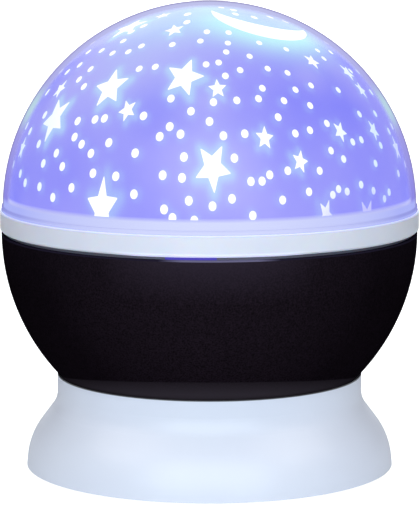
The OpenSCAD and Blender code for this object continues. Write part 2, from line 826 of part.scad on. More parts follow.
// Black bowl: a spherical wall, a flat floor with the hub, ribs, and bosses for the two rings
module bowl() {
    boss_foot = rim_z - reflector_boss_h;
    color("black")
        difference() {
            union() {
                translate([0, 0, rim_z])
                    rotate_extrude()
                        difference() {
                            intersection() {
                                circle(ball_r, $fn = 180);
                                translate([0, floor_z - rim_z]) square([ball_r, rim_z - floor_z]);
                            }
                            intersection() {
                                circle(ball_r - bowl_wall, $fn = 180);
                                translate([0, floor_z + bowl_floor_t - rim_z]) square(2 * ball_r);
                            }
                            translate([0, -rabbet_h]) square([bowl_rabbet_r, rabbet_h + 1]);
                        }
                translate([0, 0, gear_z]) cylinder(r = hub_r, h = hub_top - gear_z);
                gear_screw_places() translate([0, 0, floor_z + e])
                    cylinder(r = ball_boss_r, h = gear_screw_l - 0.5);
                intersection() {
                    for (a = [20:60:320]) rotate(a) translate([hub_r - 0.5, -rib_t / 2, floor_z + e])
                        cube([ball_r, rib_t, bowl_floor_t + 4]);
                    translate([0, 0, rim_z]) sphere(ball_r - bowl_wall / 2, $fn = 180);
                }
                reflector_screw_places() translate([0, 0, boss_foot])
                    cylinder(r = ball_boss_r, h = ring_z - boss_foot);
                intersection() {
                    reflector_screw_places() translate([0, -rib_t / 2, boss_foot])
                        cube([ball_r, rib_t, rim_z - rabbet_h - 0.2 - boss_foot]);
                    translate([0, 0, rim_z]) sphere(ball_r - bowl_wall / 2, $fn = 180);
                }
            }
            translate([0, 0, gear_z - e]) cylinder(r = axle_r + hub_play, h = hub_top);
            gear_screw_places() translate([0, 0, floor_z - e])
                cylinder(r = ball_screw_r + screw_play, h = gear_screw_l - 1);
            reflector_screw_places() translate([0, 0, ring_z - reflector_screw_l + 2])
                cylinder(r = ball_screw_r + screw_play, h = reflector_screw_l);
        }
}

// White ring: outer band, an inner seat for the reflector, and a collar down into the bowl
module equator_ring() {
    edge = 0.5;
    color("white")
        difference() {
            rotate_extrude()
                polygon([[ring_r - edge, ring_z], [ring_r, ring_z + edge], [ring_r, ring_top - edge],
                    [ring_r - edge, ring_top], [ring_in, ring_top], [ring_in, seat_z],
                    [seat_in, seat_z], [seat_in, ring_z], [collar_r - collar_t, ring_z],
                    [collar_r - collar_t, rim_z - collar_drop], [collar_r, rim_z - collar_drop],
                    [collar_r, ring_z]]);
            reflector_screw_places() translate([0, 0, ring_z - e])
                cylinder(r = ball_screw_r + hole_play, h = ring_seat_t + 2 * e);
        }
}

module reflector_plate() {
    color("white")
        difference() {
            translate([0, 0, seat_z])
                rotate_extrude()
                    polygon([[post_head_r + 1.5, 0], [reflector_r, 0], [reflector_r, reflector_t],
                        [seat_in - 2, reflector_t], [seat_in - 4, reflector_t - 0.4],
                        [post_head_r + 3, reflector_t - 0.4], [post_head_r + 2.4, reflector_t + 0.6],
                        [post_head_r + 1.5, reflector_t + 0.6]]);
            reflector_screw_places() translate([0, 0, seat_z - e])
                cylinder(r = ball_screw_r + hole_play, h = reflector_t + 2 * e);
        }
}

module reflector_screws() {
    color("silver")
        reflector_screw_places() translate([0, 0, reflector_top])
            mirror([0, 0, 1])
                screw(reflector_screw_l, ball_screw_r, ball_screw_head_r, small_head_h);
}

// Thin printed hemisphere that stands on the reflector plate
module star_film() {
    foot = reflector_top - ring_top;
    color("slateblue", 0.6)
        translate([0, 0, ring_top])
            rotate_extrude()
                difference() {
                    intersection() {
                        round_top(film_r, foot);
                        translate([0, foot]) square([film_r + 1, film_r - foot + 1]);
                    }
                    round_top(film_in, foot - 1);
                }
}

// Clear dome: a flange rests on the ring and a lip goes down inside it
module dome_cover() {
    foot = seat_z + 0.5 - ring_top;
    color("lightblue", 0.3)
        translate([0, 0, ring_top])
            rotate_extrude()
                difference() {
                    union() {
                        intersection() {
                            circle(dome_r, $fn = 180);
                            square(dome_r + 1);
                        }
                        square([dome_flange_r, dome_flange_h]);
                        translate([0, foot]) square([lip_r, 1 - foot]);
                    }
                    intersection() {
                        circle(dome_in, $fn = 180);
                        square(dome_r + 1);
                    }
                    translate([0, foot - 1]) square([dome_in, 1 - foot]);
                }
}

base_shell();
base_plate();
base_screws();
rubber_feet();
battery_door();
door_screw();
battery(0);  // battery_1
battery(1);  // battery_2
battery(2);  // battery_3
battery(3);  // battery_4
contact_plates();
contact_springs();
main_board();
board_parts();
board_screws();
usb_socket();
button_board();
tact_switches();
button(0);  // power_button
button(1);  // light_button
button(2);  // colour_button
button(3);  // turn_button
plunger(0);  // power_plunger
plunger(1);  // light_plunger
plunger(2);  // colour_plunger
plunger(3);  // turn_plunger
motor_can();
gearbox();
motor_screws();
motor_shaft();
drive_pinion();
drive_gear();
gear_screws();
thrust_washer();
led_post();
post_screws();
led_board();
led(0, "white");  // led_white
led(1, "tomato");  // led_red
led(2, "lightgreen");  // led_green
led(3, "lightblue");  // led_blue
led_leads();
bowl();
equator_ring();
reflector_plate();
reflector_screws();
star_film();
dome_cover();
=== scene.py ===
"""Star night light projector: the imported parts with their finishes, the printed star film with
its windows, and a studio. Metres, Z up, origin on the table under the middle of the base.

The order is the one it is put together in: base, power, controls, drive, lamp, ball, film,
dome, and then the studio.
"""
import math

import bpy
import numpy as np
from mathutils import Matrix, Vector


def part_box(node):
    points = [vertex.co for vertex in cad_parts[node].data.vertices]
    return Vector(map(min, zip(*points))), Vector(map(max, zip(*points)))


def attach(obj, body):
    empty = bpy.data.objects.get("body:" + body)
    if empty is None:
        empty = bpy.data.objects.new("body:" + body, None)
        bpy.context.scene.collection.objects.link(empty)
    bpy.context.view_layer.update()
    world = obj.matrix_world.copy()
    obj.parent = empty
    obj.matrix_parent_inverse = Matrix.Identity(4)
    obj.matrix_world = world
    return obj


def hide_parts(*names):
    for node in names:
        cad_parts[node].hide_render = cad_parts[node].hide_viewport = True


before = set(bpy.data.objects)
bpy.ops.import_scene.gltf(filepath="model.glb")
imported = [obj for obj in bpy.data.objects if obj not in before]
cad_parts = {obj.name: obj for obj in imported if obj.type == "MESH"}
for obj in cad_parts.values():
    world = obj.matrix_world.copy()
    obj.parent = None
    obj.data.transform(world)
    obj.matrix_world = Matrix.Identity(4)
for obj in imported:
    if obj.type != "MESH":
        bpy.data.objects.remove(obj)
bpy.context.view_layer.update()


# ---- Skirt, bottom plate and battery door ----
# White ABS, injection moulded. The skirt's mould is polished, the plate's and the door's are
# spark-eroded, so those two are matt. Four screws hold the plate, one holds the door.

def srgb(code):
    """An sRGB hex colour as the linear values that a shader takes."""
    parts = [int(code[i:i + 2], 16) / 255 for i in (1, 3, 5)]
    return [p / 12.92 if p < 0.04045 else ((p + 0.055) / 1.055) ** 2.4 for p in parts] + [1]


def feed(node, sockets):
    """Gives inputs a value or a colour's code, or links them to an output, or to a node's
    first one."""
    for name, value in sockets.items():
        if isinstance(value, bpy.types.Node):
            value = next(output for output in value.outputs if output.enabled)
        if isinstance(value, bpy.types.NodeSocket):
            node.id_data.links.new(value, node.inputs[name])
        else:
            node.inputs[name].default_value = srgb(value) if isinstance(value, str) else value


def add(tree, kind, sockets=(), **settings):
    """One node with its settings and links. A Mix that takes a colour's code mixes colours."""
    node = tree.nodes.new("ShaderNode" + kind)
    sockets = dict(sockets)
    if kind == "Mix" and any(isinstance(value, str) for value in sockets.values()):
        node.data_type = "RGBA"
    for name, value in settings.items():
        setattr(node, name, value)
    feed(node, sockets)
    return node


def new_finish(name, **sockets):
    """A material with one Principled shader, whose inputs are set by name. With it come its
    tree, that shader, and the place of each point in object coordinates."""
    material = bpy.data.materials.new(name)
    material.use_nodes = True
    tree = material.node_tree
    shader = tree.nodes["Principled BSDF"]
    feed(shader, {socket.replace("_", " "): value for socket, value in sockets.items()})
    return material, tree, shader, add(tree, "TexCoord").outputs["Object"]


def mottle(shader, pattern, shades=None, gloss=None, relief=None):
    """The pattern moves the colour between two shades, the roughness between two values, and
    the face up and down, by a bump's strength and depth."""
    tree = shader.id_data
    if shades:
        tint = add(tree, "Mix", {"Factor": pattern, "A": shades[0], "B": shades[1]})
        feed(shader, {"Base Color": tint})
    if gloss:
        rough = add(tree, "MapRange", {"Value": pattern, "To Min": gloss[0], "To Max": gloss[1]})
        feed(shader, {"Roughness": rough})
    if relief:
        bump = add(tree, "Bump", {"Height": pattern, "Strength": relief[0],
                                  "Distance": relief[1]})
        feed(shader, {"Normal": bump})


def dress(material, *names):
    """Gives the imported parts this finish."""
    for name in names:
        for slot in bpy.data.objects[name].material_slots:
            slot.material = material


neck_rim_z = 0.02977
gap_shade_from = 0.00055    # below the rim
gap_shade_to = 0.0003

# Polished ABS: glossy with a soft edge, a hair cooler in wide faint clouds where the melt
# met, and a slight waviness of the face some 14 mm across. Its rim has painted shade, dark
# where it goes into the gap under the bowl
polished_abs, tree, shader, place = new_finish("polished_white_abs", IOR=1.53, Roughness=0.32)
clouds = add(tree, "TexNoise", {"Vector": place, "Scale": 30, "Detail": 2})
tint = add(tree, "Mix", {"Factor": clouds, "A": "#E6ECF8", "B": "#DEE4F3"})
height = add(tree, "SeparateXYZ", {"Vector": place}).outputs["Z"]
# Painted shade: the neck's top edge darkened where it meets the gap under the bowl
neck_shade = add(tree, "MapRange", {"Value": height, "From Min": neck_rim_z - gap_shade_from,
                                "From Max": neck_rim_z - gap_shade_to})
neck_shaded = add(tree, "Mix", {"Factor": neck_shade, "A": tint, "B": "#252127"})
feed(shader, {"Base Color": neck_shaded})
rub = add(tree, "TexNoise", {"Vector": place, "Scale": 420, "Detail": 3})
mottle(shader, rub, gloss=(0.26, 0.4))
waves = add(tree, "TexNoise", {"Vector": place, "Scale": 70, "Detail": 1})
mottle(shader, waves, relief=(0.04, 0.001))
dress(polished_abs, "base_shell")

# Spark-eroded ABS: an even matt grain, really 0.05 mm, drawn at 0.3 mm so that it shows
eroded_abs, tree, shader, place = new_finish("spark_eroded_white_abs", IOR=1.53, Roughness=0.5)
grain = add(tree, "TexNoise", {"Vector": place, "Scale": 3300, "Detail": 2})
mottle(shader, grain, ("#DDE3EE", "#EEF3FB"), gloss=(0.45, 0.62), relief=(0.25, 0.0001))
dress(eroded_abs, "base_plate", "battery_door")


# ---- Rubber feet ----
# Four pads of grey rubber, moulded flat with a chamfer, pressed and glued into the plate.

# Rubber: dull and dark, with fine dust in a grain of some 0.4 mm
foot_rubber, tree, shader, place = new_finish("moulded_rubber", IOR=1.52, Roughness=0.8)
dust_and_sheen = add(tree, "TexNoise", {"Vector": place, "Scale": 2500, "Detail": 4})
mottle(shader, dust_and_sheen, ("#3B3D41", "#595B60"), gloss=(0.7, 0.9), relief=(0.4, 0.0001))
dress(foot_rubber, "rubber_feet")


# ---- Screws ----
# Pan-head self-tapping screws for plastic, cold-headed carbon steel with bright zinc plate.

# Zinc plate: a cool bright metal with faint bluish clouds 1.5 mm wide and dull patches
zinc_plate, tree, shader, place = new_finish("zinc_plated_steel", Metallic=1, Roughness=0.3)
passivation = add(tree, "TexNoise", {"Vector": place, "Scale": 650, "Detail": 3})
mottle(shader, passivation, ("#B9C1CE", "#DDDCD6"), gloss=(0.22, 0.45))
dress(zinc_plate, "base_screws", "door_screw", "board_screws", "motor_screws", "gear_screws",
      "post_screws", "reflector_screws")


# ---- Cells ----
# Four AAA cells side by side, every second one turned round. Drawn steel cans in a shrunk
# plastic sleeve that folds over both ends and leaves the steel bare in the middle.

bare_r = 0.0042
band_l = 0.007

for n in range(4):
    # Shrink sleeve: glossy film, orange with a dark band at the flat end, over nickelled steel
    low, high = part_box(f"battery_{n + 1}")
    cell_x, cell_z = (low.x + high.x) / 2, (low.z + high.z) / 2
    way = -1 if n % 2 else 1
    flat_end = min(way * low.y, way * high.y)
    sleeve, tree, shader, place = new_finish(f"shrink_sleeve_{n + 1}", IOR=1.54, Roughness=0.25)
    lying = add(tree, "Mapping", {"Vector": place, "Location": (-cell_x, 0, -cell_z),
                                  "Scale": (1, way, 1)})
    across = add(tree, "VectorMath", {0: lying, 1: (1, 0, 1)}, operation="MULTIPLY")
    radius = add(tree, "VectorMath", {0: across}, operation="LENGTH")
    bare = add(tree, "Math", {0: radius, 1: bare_r}, operation="LESS_THAN")
    along = add(tree, "SeparateXYZ", {"Vector": lying}).outputs["Y"]
    band = add(tree, "Math", {0: along, 1: flat_end + band_l}, operation="LESS_THAN")
    scuff = add(tree, "TexNoise", {"Vector": lying, "Scale": 900, "Detail": 3})
    print_tint = add(tree, "Mix", {"Factor": scuff, "A": "#E08A1C", "B": "#EFA030"})
    banded = add(tree, "Mix", {"Factor": band, "A": print_tint, "B": "#26292F"})
    whole = add(tree, "Mix", {"Factor": bare, "A": banded, "B": "#C9C8C2"})
    feed(shader, {"Base Color": whole, "Metallic": bare})
    mottle(shader, scuff, gloss=(0.18, 0.38))
    dress(sleeve, f"battery_{n + 1}")


# ---- Battery contacts ----
# Stamped plates and wound coils of spring steel, nickel plated, slid into the bay's end walls.

# Nickel plate: a warm bright metal, with drawing marks across it 0.5 mm apart
nickel_plate, tree, shader, place = new_finish("nickel_plated_spring_steel", Metallic=1,
                                               Roughness=0.25)
stretched = add(tree, "Mapping", {"Vector": place, "Scale": (2000, 2000, 120)})
drawn = add(tree, "TexNoise", {"Vector": stretched, "Scale": 1, "Detail": 2})
mottle(shader, drawn, ("#BDB8AB", "#DEDACF"), gloss=(0.18, 0.36))
dress(nickel_plate, "contact_plates", "contact_springs", "usb_socket")


# ---- Circuit boards ----
# Main board flat beside the bay, button board on edge behind the buttons: FR4 glass-epoxy
# laminate, green solder mask over copper tracks, on standoffs and in two slotted posts.

# Solder mask: glossy green, lighter over the tracks, which run in steps 2.5 mm apart, with
# tinned pads 0.7 mm wide
solder_mask, tree, shader, place = new_finish("solder_masked_fr4", IOR=1.55, Roughness=0.3)
tracks = add(tree, "TexBrick", {"Vector": place, "Scale": 1, "Mortar Size": 0.00018,
                                "Brick Width": 0.0061, "Row Height": 0.0025}).outputs["Fac"]
pads = add(tree, "TexVoronoi", {"Vector": place, "Scale": 300, "Randomness": 0.2})
pad = add(tree, "Math", {0: pads, 1: 0.11}, operation="LESS_THAN")
mask_tint = add(tree, "Mix", {"Factor": tracks, "A": "#12603A", "B": "#2B8A55"})
whole = add(tree, "Mix", {"Factor": pad, "A": mask_tint, "B": "#C6C9CC"})
feed(shader, {"Base Color": whole, "Metallic": pad})
mottle(shader, tracks, relief=(0.5, 0.00004))
dress(solder_mask, "main_board", "button_board")


# ---- Board parts ----
# Controller chip and resistors in black epoxy, a capacitor in a navy sleeve, a crystal's steel
# can, and three white nylon plug housings, all soldered to the main board.

housing_l = 0.0041
crystal_l = 0.0046
cap_y = -0.0055
housing_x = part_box("board_parts")[1].x - housing_l
crystal_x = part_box("main_board")[0].x + crystal_l

# Moulded epoxy: matt charcoal; by their place, ivory nylon, a steel can and a navy sleeve
part_mix, tree, shader, place = new_finish("epoxy_nylon_and_tinned_parts", IOR=1.55,
                                           Roughness=0.5)
axis = add(tree, "SeparateXYZ", {"Vector": place}).outputs
housing = add(tree, "Math", {0: axis["X"], 1: housing_x}, operation="GREATER_THAN")
crystal = add(tree, "Math", {0: axis["X"], 1: crystal_x}, operation="LESS_THAN")
low_y = add(tree, "Math", {0: axis["Y"], 1: cap_y}, operation="LESS_THAN")
can_only = add(tree, "Math", {0: crystal, 1: low_y}, operation="SUBTRACT", use_clamp=True)
speckle = add(tree, "TexNoise", {"Vector": place, "Scale": 2600, "Detail": 2})
epoxy = add(tree, "Mix", {"Factor": speckle, "A": "#1B1C1E", "B": "#303236"})
with_cap = add(tree, "Mix", {"Factor": low_y, "A": epoxy, "B": "#1F2C5C"})
with_can = add(tree, "Mix", {"Factor": can_only, "A": with_cap, "B": "#C7CACD"})
whole = add(tree, "Mix", {"Factor": housing, "A": with_can, "B": "#E9E4D2"})
feed(shader, {"Base Color": whole, "Metallic": can_only})
mottle(shader, speckle, gloss=(0.3, 0.6))
dress(part_mix, "board_parts")


# ---- Buttons, switches and plungers ----
# Four white ABS caps, whose faces follow the skirt, slide in its holes and press the black
# plungers of four tact switches on the button board.

# Satin ABS: the caps are a shade warmer than the skirt, with a soft 0.2 mm grain
cap_abs, tree, shader, place = new_finish("satin_white_abs", IOR=1.53, Roughness=0.42)
grain = add(tree, "TexNoise", {"Vector": place, "Scale": 4500, "Detail": 2})
mottle(shader, grain, ("#DADEE6", "#E9ECF2"), gloss=(0.36, 0.5), relief=(0.15, 0.0001))
dress(cap_abs, "power_button", "light_button", "colour_button", "turn_button")

# Glass-filled PBT: dark grey and matt, with pale fibre flecks 0.15 mm wide
filled_pbt, tree, shader, place = new_finish("glass_filled_pbt", IOR=1.57, Roughness=0.55)
fibres = add(tree, "TexNoise", {"Vector": place, "Scale": 6000, "Detail": 1, "Distortion": 2})
fleck = add(tree, "MapRange", {"Value": fibres, "From Min": 0.55, "From Max": 0.75})
mottle(shader, fleck, ("#1D1E21", "#4A4C50"))
mottle(shader, fibres, gloss=(0.45, 0.65))
dress(filled_pbt, "tact_switches", "power_plunger", "light_plunger", "colour_plunger",
      "turn_plunger")


# ---- Motor and gearbox ----
# A small DC motor in a deep-drawn steel can, its reduction gearbox in grey ABS, and a ground
# steel shaft. Two screws through the ears hold it under the deck.

# Drawn steel: nickel grey with upright drawing lines 0.6 mm apart round the can
drawn_steel, tree, shader, place = new_finish("drawn_nickelled_steel", Metallic=1,
                                              Roughness=0.32)
stretched = add(tree, "Mapping", {"Vector": place, "Scale": (1700, 1700, 60)})
drawn = add(tree, "TexNoise", {"Vector": stretched, "Scale": 1, "Detail": 2})
mottle(shader, drawn, ("#9FA1A2", "#C2C3C1"), gloss=(0.25, 0.42))
dress(drawn_steel, "motor_can")

# Ground steel: bright, with grinding rings round the shaft 0.3 mm apart
ground_steel, tree, shader, place = new_finish("ground_steel", Metallic=1, Roughness=0.2)
stretched = add(tree, "Mapping", {"Vector": place, "Scale": (80, 80, 3300)})
ground = add(tree, "TexNoise", {"Vector": stretched, "Scale": 1, "Detail": 1})
mottle(shader, ground, ("#B4B6B9", "#D4D5D6"), gloss=(0.15, 0.3))
dress(ground_steel, "motor_shaft")

# Grey ABS: dull, with a moulded grain of 0.3 mm
grey_abs, tree, shader, place = new_finish("moulded_grey_abs", IOR=1.53, Roughness=0.5)
grain = add(tree, "TexNoise", {"Vector": place, "Scale": 3300, "Detail": 2})
mottle(shader, grain, ("#A6AAB0", "#BEC2C8"), relief=(0.2, 0.0001))
dress(grey_abs, "gearbox")


# ---- Gears and washer ----
# A 12-tooth pinion on the motor's shaft drives the 63-tooth gear under the bowl. Both are
# moulded natural acetal; the washer that the hub turns on is the same stock, turned.

# Natural acetal: milky ivory with a waxy gloss, and weld lines that fan out from the middle
# some 3 mm apart
acetal, tree, shader, place = new_finish("moulded_acetal", IOR=1.48, Roughness=0.35,
                                         Subsurface_Weight=0.15, Subsurface_Scale=0.001)
flow = add(tree, "TexNoise", {"Vector": place, "Scale": 330, "Detail": 2, "Distortion": 1})
mottle(shader, flow, ("#E8E2CF", "#F4F0E4"), gloss=(0.28, 0.45))
dress(acetal, "drive_gear", "drive_pinion", "thrust_washer")


# ---- LED post ----
# White ABS column screwed to the axle. Its foot keeps the ball on, its head carries the
# aluminium-backed LED board with a white solder mask.

# Matt ABS: plain white with the mould's upright polishing lines 0.8 mm apart
post_abs, tree, shader, place = new_finish("matt_white_abs", IOR=1.53, Roughness=0.5)
stretched = add(tree, "Mapping", {"Vector": place, "Scale": (1250, 1250, 90)})
lines = add(tree, "TexNoise", {"Vector": stretched, "Scale": 1, "Detail": 2})
mottle(shader, lines, ("#E3E5E8", "#F2F3F5"), gloss=(0.42, 0.58))
dress(post_abs, "led_post")

led_pcr = 0.0059            # radius of the circle through the four LEDs
land_reach = 0.0008         # to each side of that circle

# White solder mask: bright and glossy, and the ring-shaped land under the LEDs shows through
white_mask, tree, shader, place = new_finish("white_solder_mask", IOR=1.55, Roughness=0.28)
flat = add(tree, "VectorMath", {0: place, 1: (1, 1, 0)}, operation="MULTIPLY")
radius = add(tree, "VectorMath", {0: flat}, operation="LENGTH")
land = add(tree, "Math", {0: radius, 1: led_pcr, 2: land_reach}, operation="COMPARE")
mottle(shader, land, ("#F2F3F1", "#E2E0D6"), relief=(0.5, 0.00004))
dress(white_mask, "led_board")


# ---- LEDs ----
# Four 5 mm LEDs, white, red, green and blue, soldered in a square. The lens is cast epoxy,
# clear with a faint dye, and all four are lit.

for name, dye, light, power in (("led_white", "#F4F6FF", "#EAF0FF", 1.6),
                                ("led_red", "#FFB4A8", "#FF5A48", 1.0),
                                ("led_green", "#B8F0C4", "#50F090", 0.9),
                                ("led_blue", "#A8BCFF", "#4A5CFF", 1.4)):
    # Cast epoxy: clear and glossy, with a bright core where the chip sits low in the lens
    low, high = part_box(name)
    lens, tree, shader, place = new_finish(f"cast_epoxy_{name[4:]}", IOR=1.54, Roughness=0.06,
                                           Transmission_Weight=0.35, Emission_Strength=power)
    height = add(tree, "SeparateXYZ", {"Vector": place}).outputs["Z"]
    up_lens = add(tree, "MapRange", {"Value": height, "From Min": low.z, "From Max": high.z})
    core = add(tree, "Mix", {"Factor": up_lens, "A": light, "B": dye})
    feed(shader, {"Base Color": core, "Emission Color": core})
    dress(lens, name)


# ---- LED leads ----
# Five thin leads laid up in one bundle, red, black, white, green and blue PVC over stranded
# copper, from the LED board down the post's bore to a plug on the main board.

lead_lay = 0.018
lead_codes = ("#B3202A", "#1C1C1F", "#E4E4E2", "#1E8A4C", "#2746B8")

# PVC: satin, each lead its own colour, laid round the bundle once in 18 mm
lead_pvc, tree, shader, place = new_finish("extruded_pvc_leads", IOR=1.53, Roughness=0.4)
axis = add(tree, "SeparateXYZ", {"Vector": place}).outputs
angle = add(tree, "Math", {0: axis["Y"], 1: axis["X"]}, operation="ARCTAN2")
turn = add(tree, "Math", {0: angle, 1: 1 / math.tau, 2: 0.5}, operation="MULTIPLY_ADD")
climb = add(tree, "Math", {0: axis["Z"], 1: 1 / lead_lay, 2: turn}, operation="MULTIPLY_ADD")
slide = add(tree, "Math", {0: axis["X"], 1: 1 / lead_lay, 2: climb}, operation="MULTIPLY_ADD")
share = add(tree, "Math", {0: slide}, operation="FRACT")
lead_tints = add(tree, "ValToRGB", {"Fac": share})
lead_tints.color_ramp.interpolation = "CONSTANT"
stops = lead_tints.color_ramp.elements
for n, code in enumerate(lead_codes):
    stop = stops[0] if n == 0 else stops.new(n / len(lead_codes))
    stop.color = srgb(code)
stops.remove(stops[-1])
feed(shader, {"Base Color": lead_tints})
dress(lead_pvc, "led_leads")


# ---- Bowl ----
# Lower half of the ball: black ABS, moulded in one with its hub, ribs and bosses. The mould
# is lightly textured, so it shows almost no reflection.

bowl_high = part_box("bowl")[1]
bowl_r = bowl_high.x
rim_z = 0.07403
rim_edge = 0.0005               # how much of the rim carries the painted highlight
rim_shine = (0.003, -bowl_r, rim_z)
rim_shine_from, rim_shine_to = 0.018, 0.011     # away from rim_shine
side_y, face_y = 0.04, 0.0635   # painted shade on the sides, the two faces left lit
sheen_low, sheen_high = 0.0145, 0.001             # painted sheen, under the rim
sheen_side_y, sheen_face_y = 0.056, 0.065
skirt_light_z = 0.0283          # how high the painted light from the skirt reaches in the middle
skirt_light_lean = 0.15         # and how much higher towards the two faces
foot_edge, foot_depth = 0.0002, 0.004   # how far below it shows, and is full

# Black ABS: near black with a faint plum cast, and a fine speckle, really 0.08 mm and drawn
# at 0.5 mm so that it shows. Its colour carries painted shade on the sides, a painted sheen
# under the rim, painted light from the skirt on its foot and a painted highlight on the rim
black_abs, tree, shader, place = new_finish("textured_black_abs", IOR=1.53,
                                            Specular_IOR_Level=0, Roughness=0.5)
axis = add(tree, "SeparateXYZ", {"Vector": place}).outputs
speckle = add(tree, "TexNoise", {"Vector": place, "Scale": 2000, "Detail": 3})
mottle(shader, speckle, gloss=(0.4, 0.55), relief=(0.15, 0.0001))
grain = add(tree, "MapRange", {"Value": speckle, "From Min": 0.35, "From Max": 0.65})
speckled = add(tree, "Mix", {"Factor": grain, "A": "#110D11", "B": "#221A22"})
# Painted shade: the sides darkened towards black, the two faces left lit
out_y = add(tree, "Math", {0: axis["Y"]}, operation="ABSOLUTE")
shade = add(tree, "MapRange", {"Value": out_y, "From Min": side_y, "From Max": face_y,
                               "To Min": 0.54, "To Max": 0})
shaded = add(tree, "Mix", {"Factor": shade, "A": speckled, "B": "#000000"})
# Painted sheen: lighter under the rim, most at the two faces, standing in for the lamps' broad
# highlight
upper = add(tree, "MapRange", {"Value": axis["Z"], "From Min": bowl_high.z - sheen_low,
                               "From Max": bowl_high.z - sheen_high, "To Max": 0.64})
sheen_face = add(tree, "MapRange", {"Value": out_y, "From Min": sheen_side_y,
                                   "From Max": sheen_face_y, "To Min": 0.1, "To Max": 1.2})
dust_and_sheen = add(tree, "Math", {0: upper, 1: sheen_face}, operation="MULTIPLY")
sheened = add(tree, "Mix", {"Factor": dust_and_sheen, "A": shaded, "B": "#332B37"})
# Painted light: the white skirt's light thrown up on the bowl's foot, lighter below a line that
# rises towards the two faces
lit_top = add(tree, "Math", {0: out_y, 1: skirt_light_lean, 2: skirt_light_z},
              operation="MULTIPLY_ADD")
below = add(tree, "Math", {0: lit_top, 1: axis["Z"]}, operation="SUBTRACT")
sheen = add(tree, "MapRange", {"Value": below, "From Max": foot_edge, "To Max": 0.3})
deeper = add(tree, "MapRange", {"Value": below, "From Max": foot_depth, "To Max": 0.7})
foot_light = add(tree, "Math", {0: sheen, 1: deeper}, operation="ADD")
skirt_lit = add(tree, "Mix", {"Factor": foot_light, "A": sheened, "B": "#332D33"})
# Painted highlight on the rim's top edge, brightest near the front middle
on_rim = add(tree, "Math", {0: axis["Z"], 1: rim_z - rim_edge}, operation="GREATER_THAN")
off_shine = add(tree, "VectorMath", {0: place, 1: rim_shine}, operation="DISTANCE")
shine = add(tree, "MapRange", {"Value": off_shine, "From Min": rim_shine_from,
                               "From Max": rim_shine_to})
rim_highlight = add(tree, "Mix", {"Factor": shine, "A": "#221D2C", "B": "#6E6884"})
whole = add(tree, "Mix", {"Factor": on_rim, "A": skirt_lit, "B": rim_highlight}, data_type="RGBA")
feed(shader, {"Base Color": whole})
dress(black_abs, "bowl")


# ---- Ring ----
# Milky white polypropylene, moulded. Its collar drops into the bowl. A thin blue line of
# painted glow on the collar's front stands for light leaking through the gap over the bowl's rim.

ring_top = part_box("equator_ring")[1].z
ring_z = 0.07503                # where the painted shade under its foot begins
foot_drop = 0.0003              # and how much lower in the middle
foot_flat, foot_curl = 0.02, 0.045      # across, from the middle
leak_from, leak_to = -0.0128, 0.0021
edge_t = 0.0005                 # of the top, which has a painted glow from the film's light
glow_high, glow_low = 0.0011, 0.0004    # over the foot
glow_far, glow_near = 0.03, 0.022       # across, from the middle

# Milky polypropylene: soft white with a cool cast, light soaks a millimetre or two into it.
# Its top edge and the middle of its foot carry a painted glow, and the underside of the foot
# has painted shade
milky_pp, tree, shader, place = new_finish("milky_polypropylene", IOR=1.49, Roughness=0.38,
                                           Subsurface_Weight=0.3, Subsurface_Scale=0.002,
                                           Emission_Strength=1)
axis = add(tree, "SeparateXYZ", {"Vector": place}).outputs
clouds = add(tree, "TexNoise", {"Vector": place, "Scale": 60, "Detail": 2})
mottle(shader, clouds, gloss=(0.32, 0.44))
tint = add(tree, "Mix", {"Factor": clouds, "A": "#EDF0FA", "B": "#E3E6F4"})
off_middle = add(tree, "Math", {0: axis["X"]}, operation="ABSOLUTE")
foot = add(tree, "MapRange", {"Value": off_middle, "From Min": foot_flat,
                              "From Max": foot_curl, "To Min": ring_z - foot_drop,
                              "To Max": ring_z})
# Painted shade: the foot's underside, below a line that dips in the middle, darkened in colour and
# glow
under = add(tree, "Math", {0: axis["Z"], 1: foot}, operation="LESS_THAN")
shaded = add(tree, "Mix", {"Factor": under, "A": tint, "B": "#6A6A7A"})
# Painted light: a blue glow on the collar's front, with its colour darkened behind the glow
painted_leak = under
for along, bound, side in (("X", leak_from, "GREATER_THAN"), ("X", leak_to, "LESS_THAN"),
                           ("Y", 0, "LESS_THAN")):
    past = add(tree, "Math", {0: axis[along], 1: bound}, operation=side)
    painted_leak = add(tree, "Math", {0: painted_leak, 1: past}, operation="MULTIPLY")
leak_darkened = add(tree, "Mix", {"Factor": painted_leak, "A": shaded, "B": "#141028"})
# Painted glow along the ring's top edge
edge = add(tree, "MapRange", {"Value": axis["Z"], "From Min": ring_top - edge_t,
                              "From Max": ring_top})
edge_light = add(tree, "Mix", {"Factor": edge, "A": "#000000", "B": "#8E98D8"})
# Painted glow on the middle of the foot, just above its dark underside
near_foot = add(tree, "MapRange", {"Value": axis["Z"], "From Min": ring_z + glow_high,
                                   "From Max": ring_z + glow_low})
near_middle = add(tree, "MapRange", {"Value": off_middle, "From Min": glow_far,
                                     "From Max": glow_near})
foot_glow = add(tree, "Math", {0: near_foot, 1: near_middle}, operation="MULTIPLY")
foot_light = add(tree, "Mix", {"Factor": foot_glow, "A": edge_light, "B": "#8482A0"})
dark_under = add(tree, "Mix", {"Factor": under, "A": foot_light, "B": "#000000"})
glow = add(tree, "Mix", {"Factor": painted_leak, "A": dark_under, "B": "#4236B5"})
feed(shader, {"Base Color": leak_darkened, "Emission Color": glow})
dress(milky_pp, "equator_ring")


# ---- Reflector plate ----
# A white polystyrene disc on the ring's seat, held by three screws. It throws the light up
# into the film and hides the bowl.

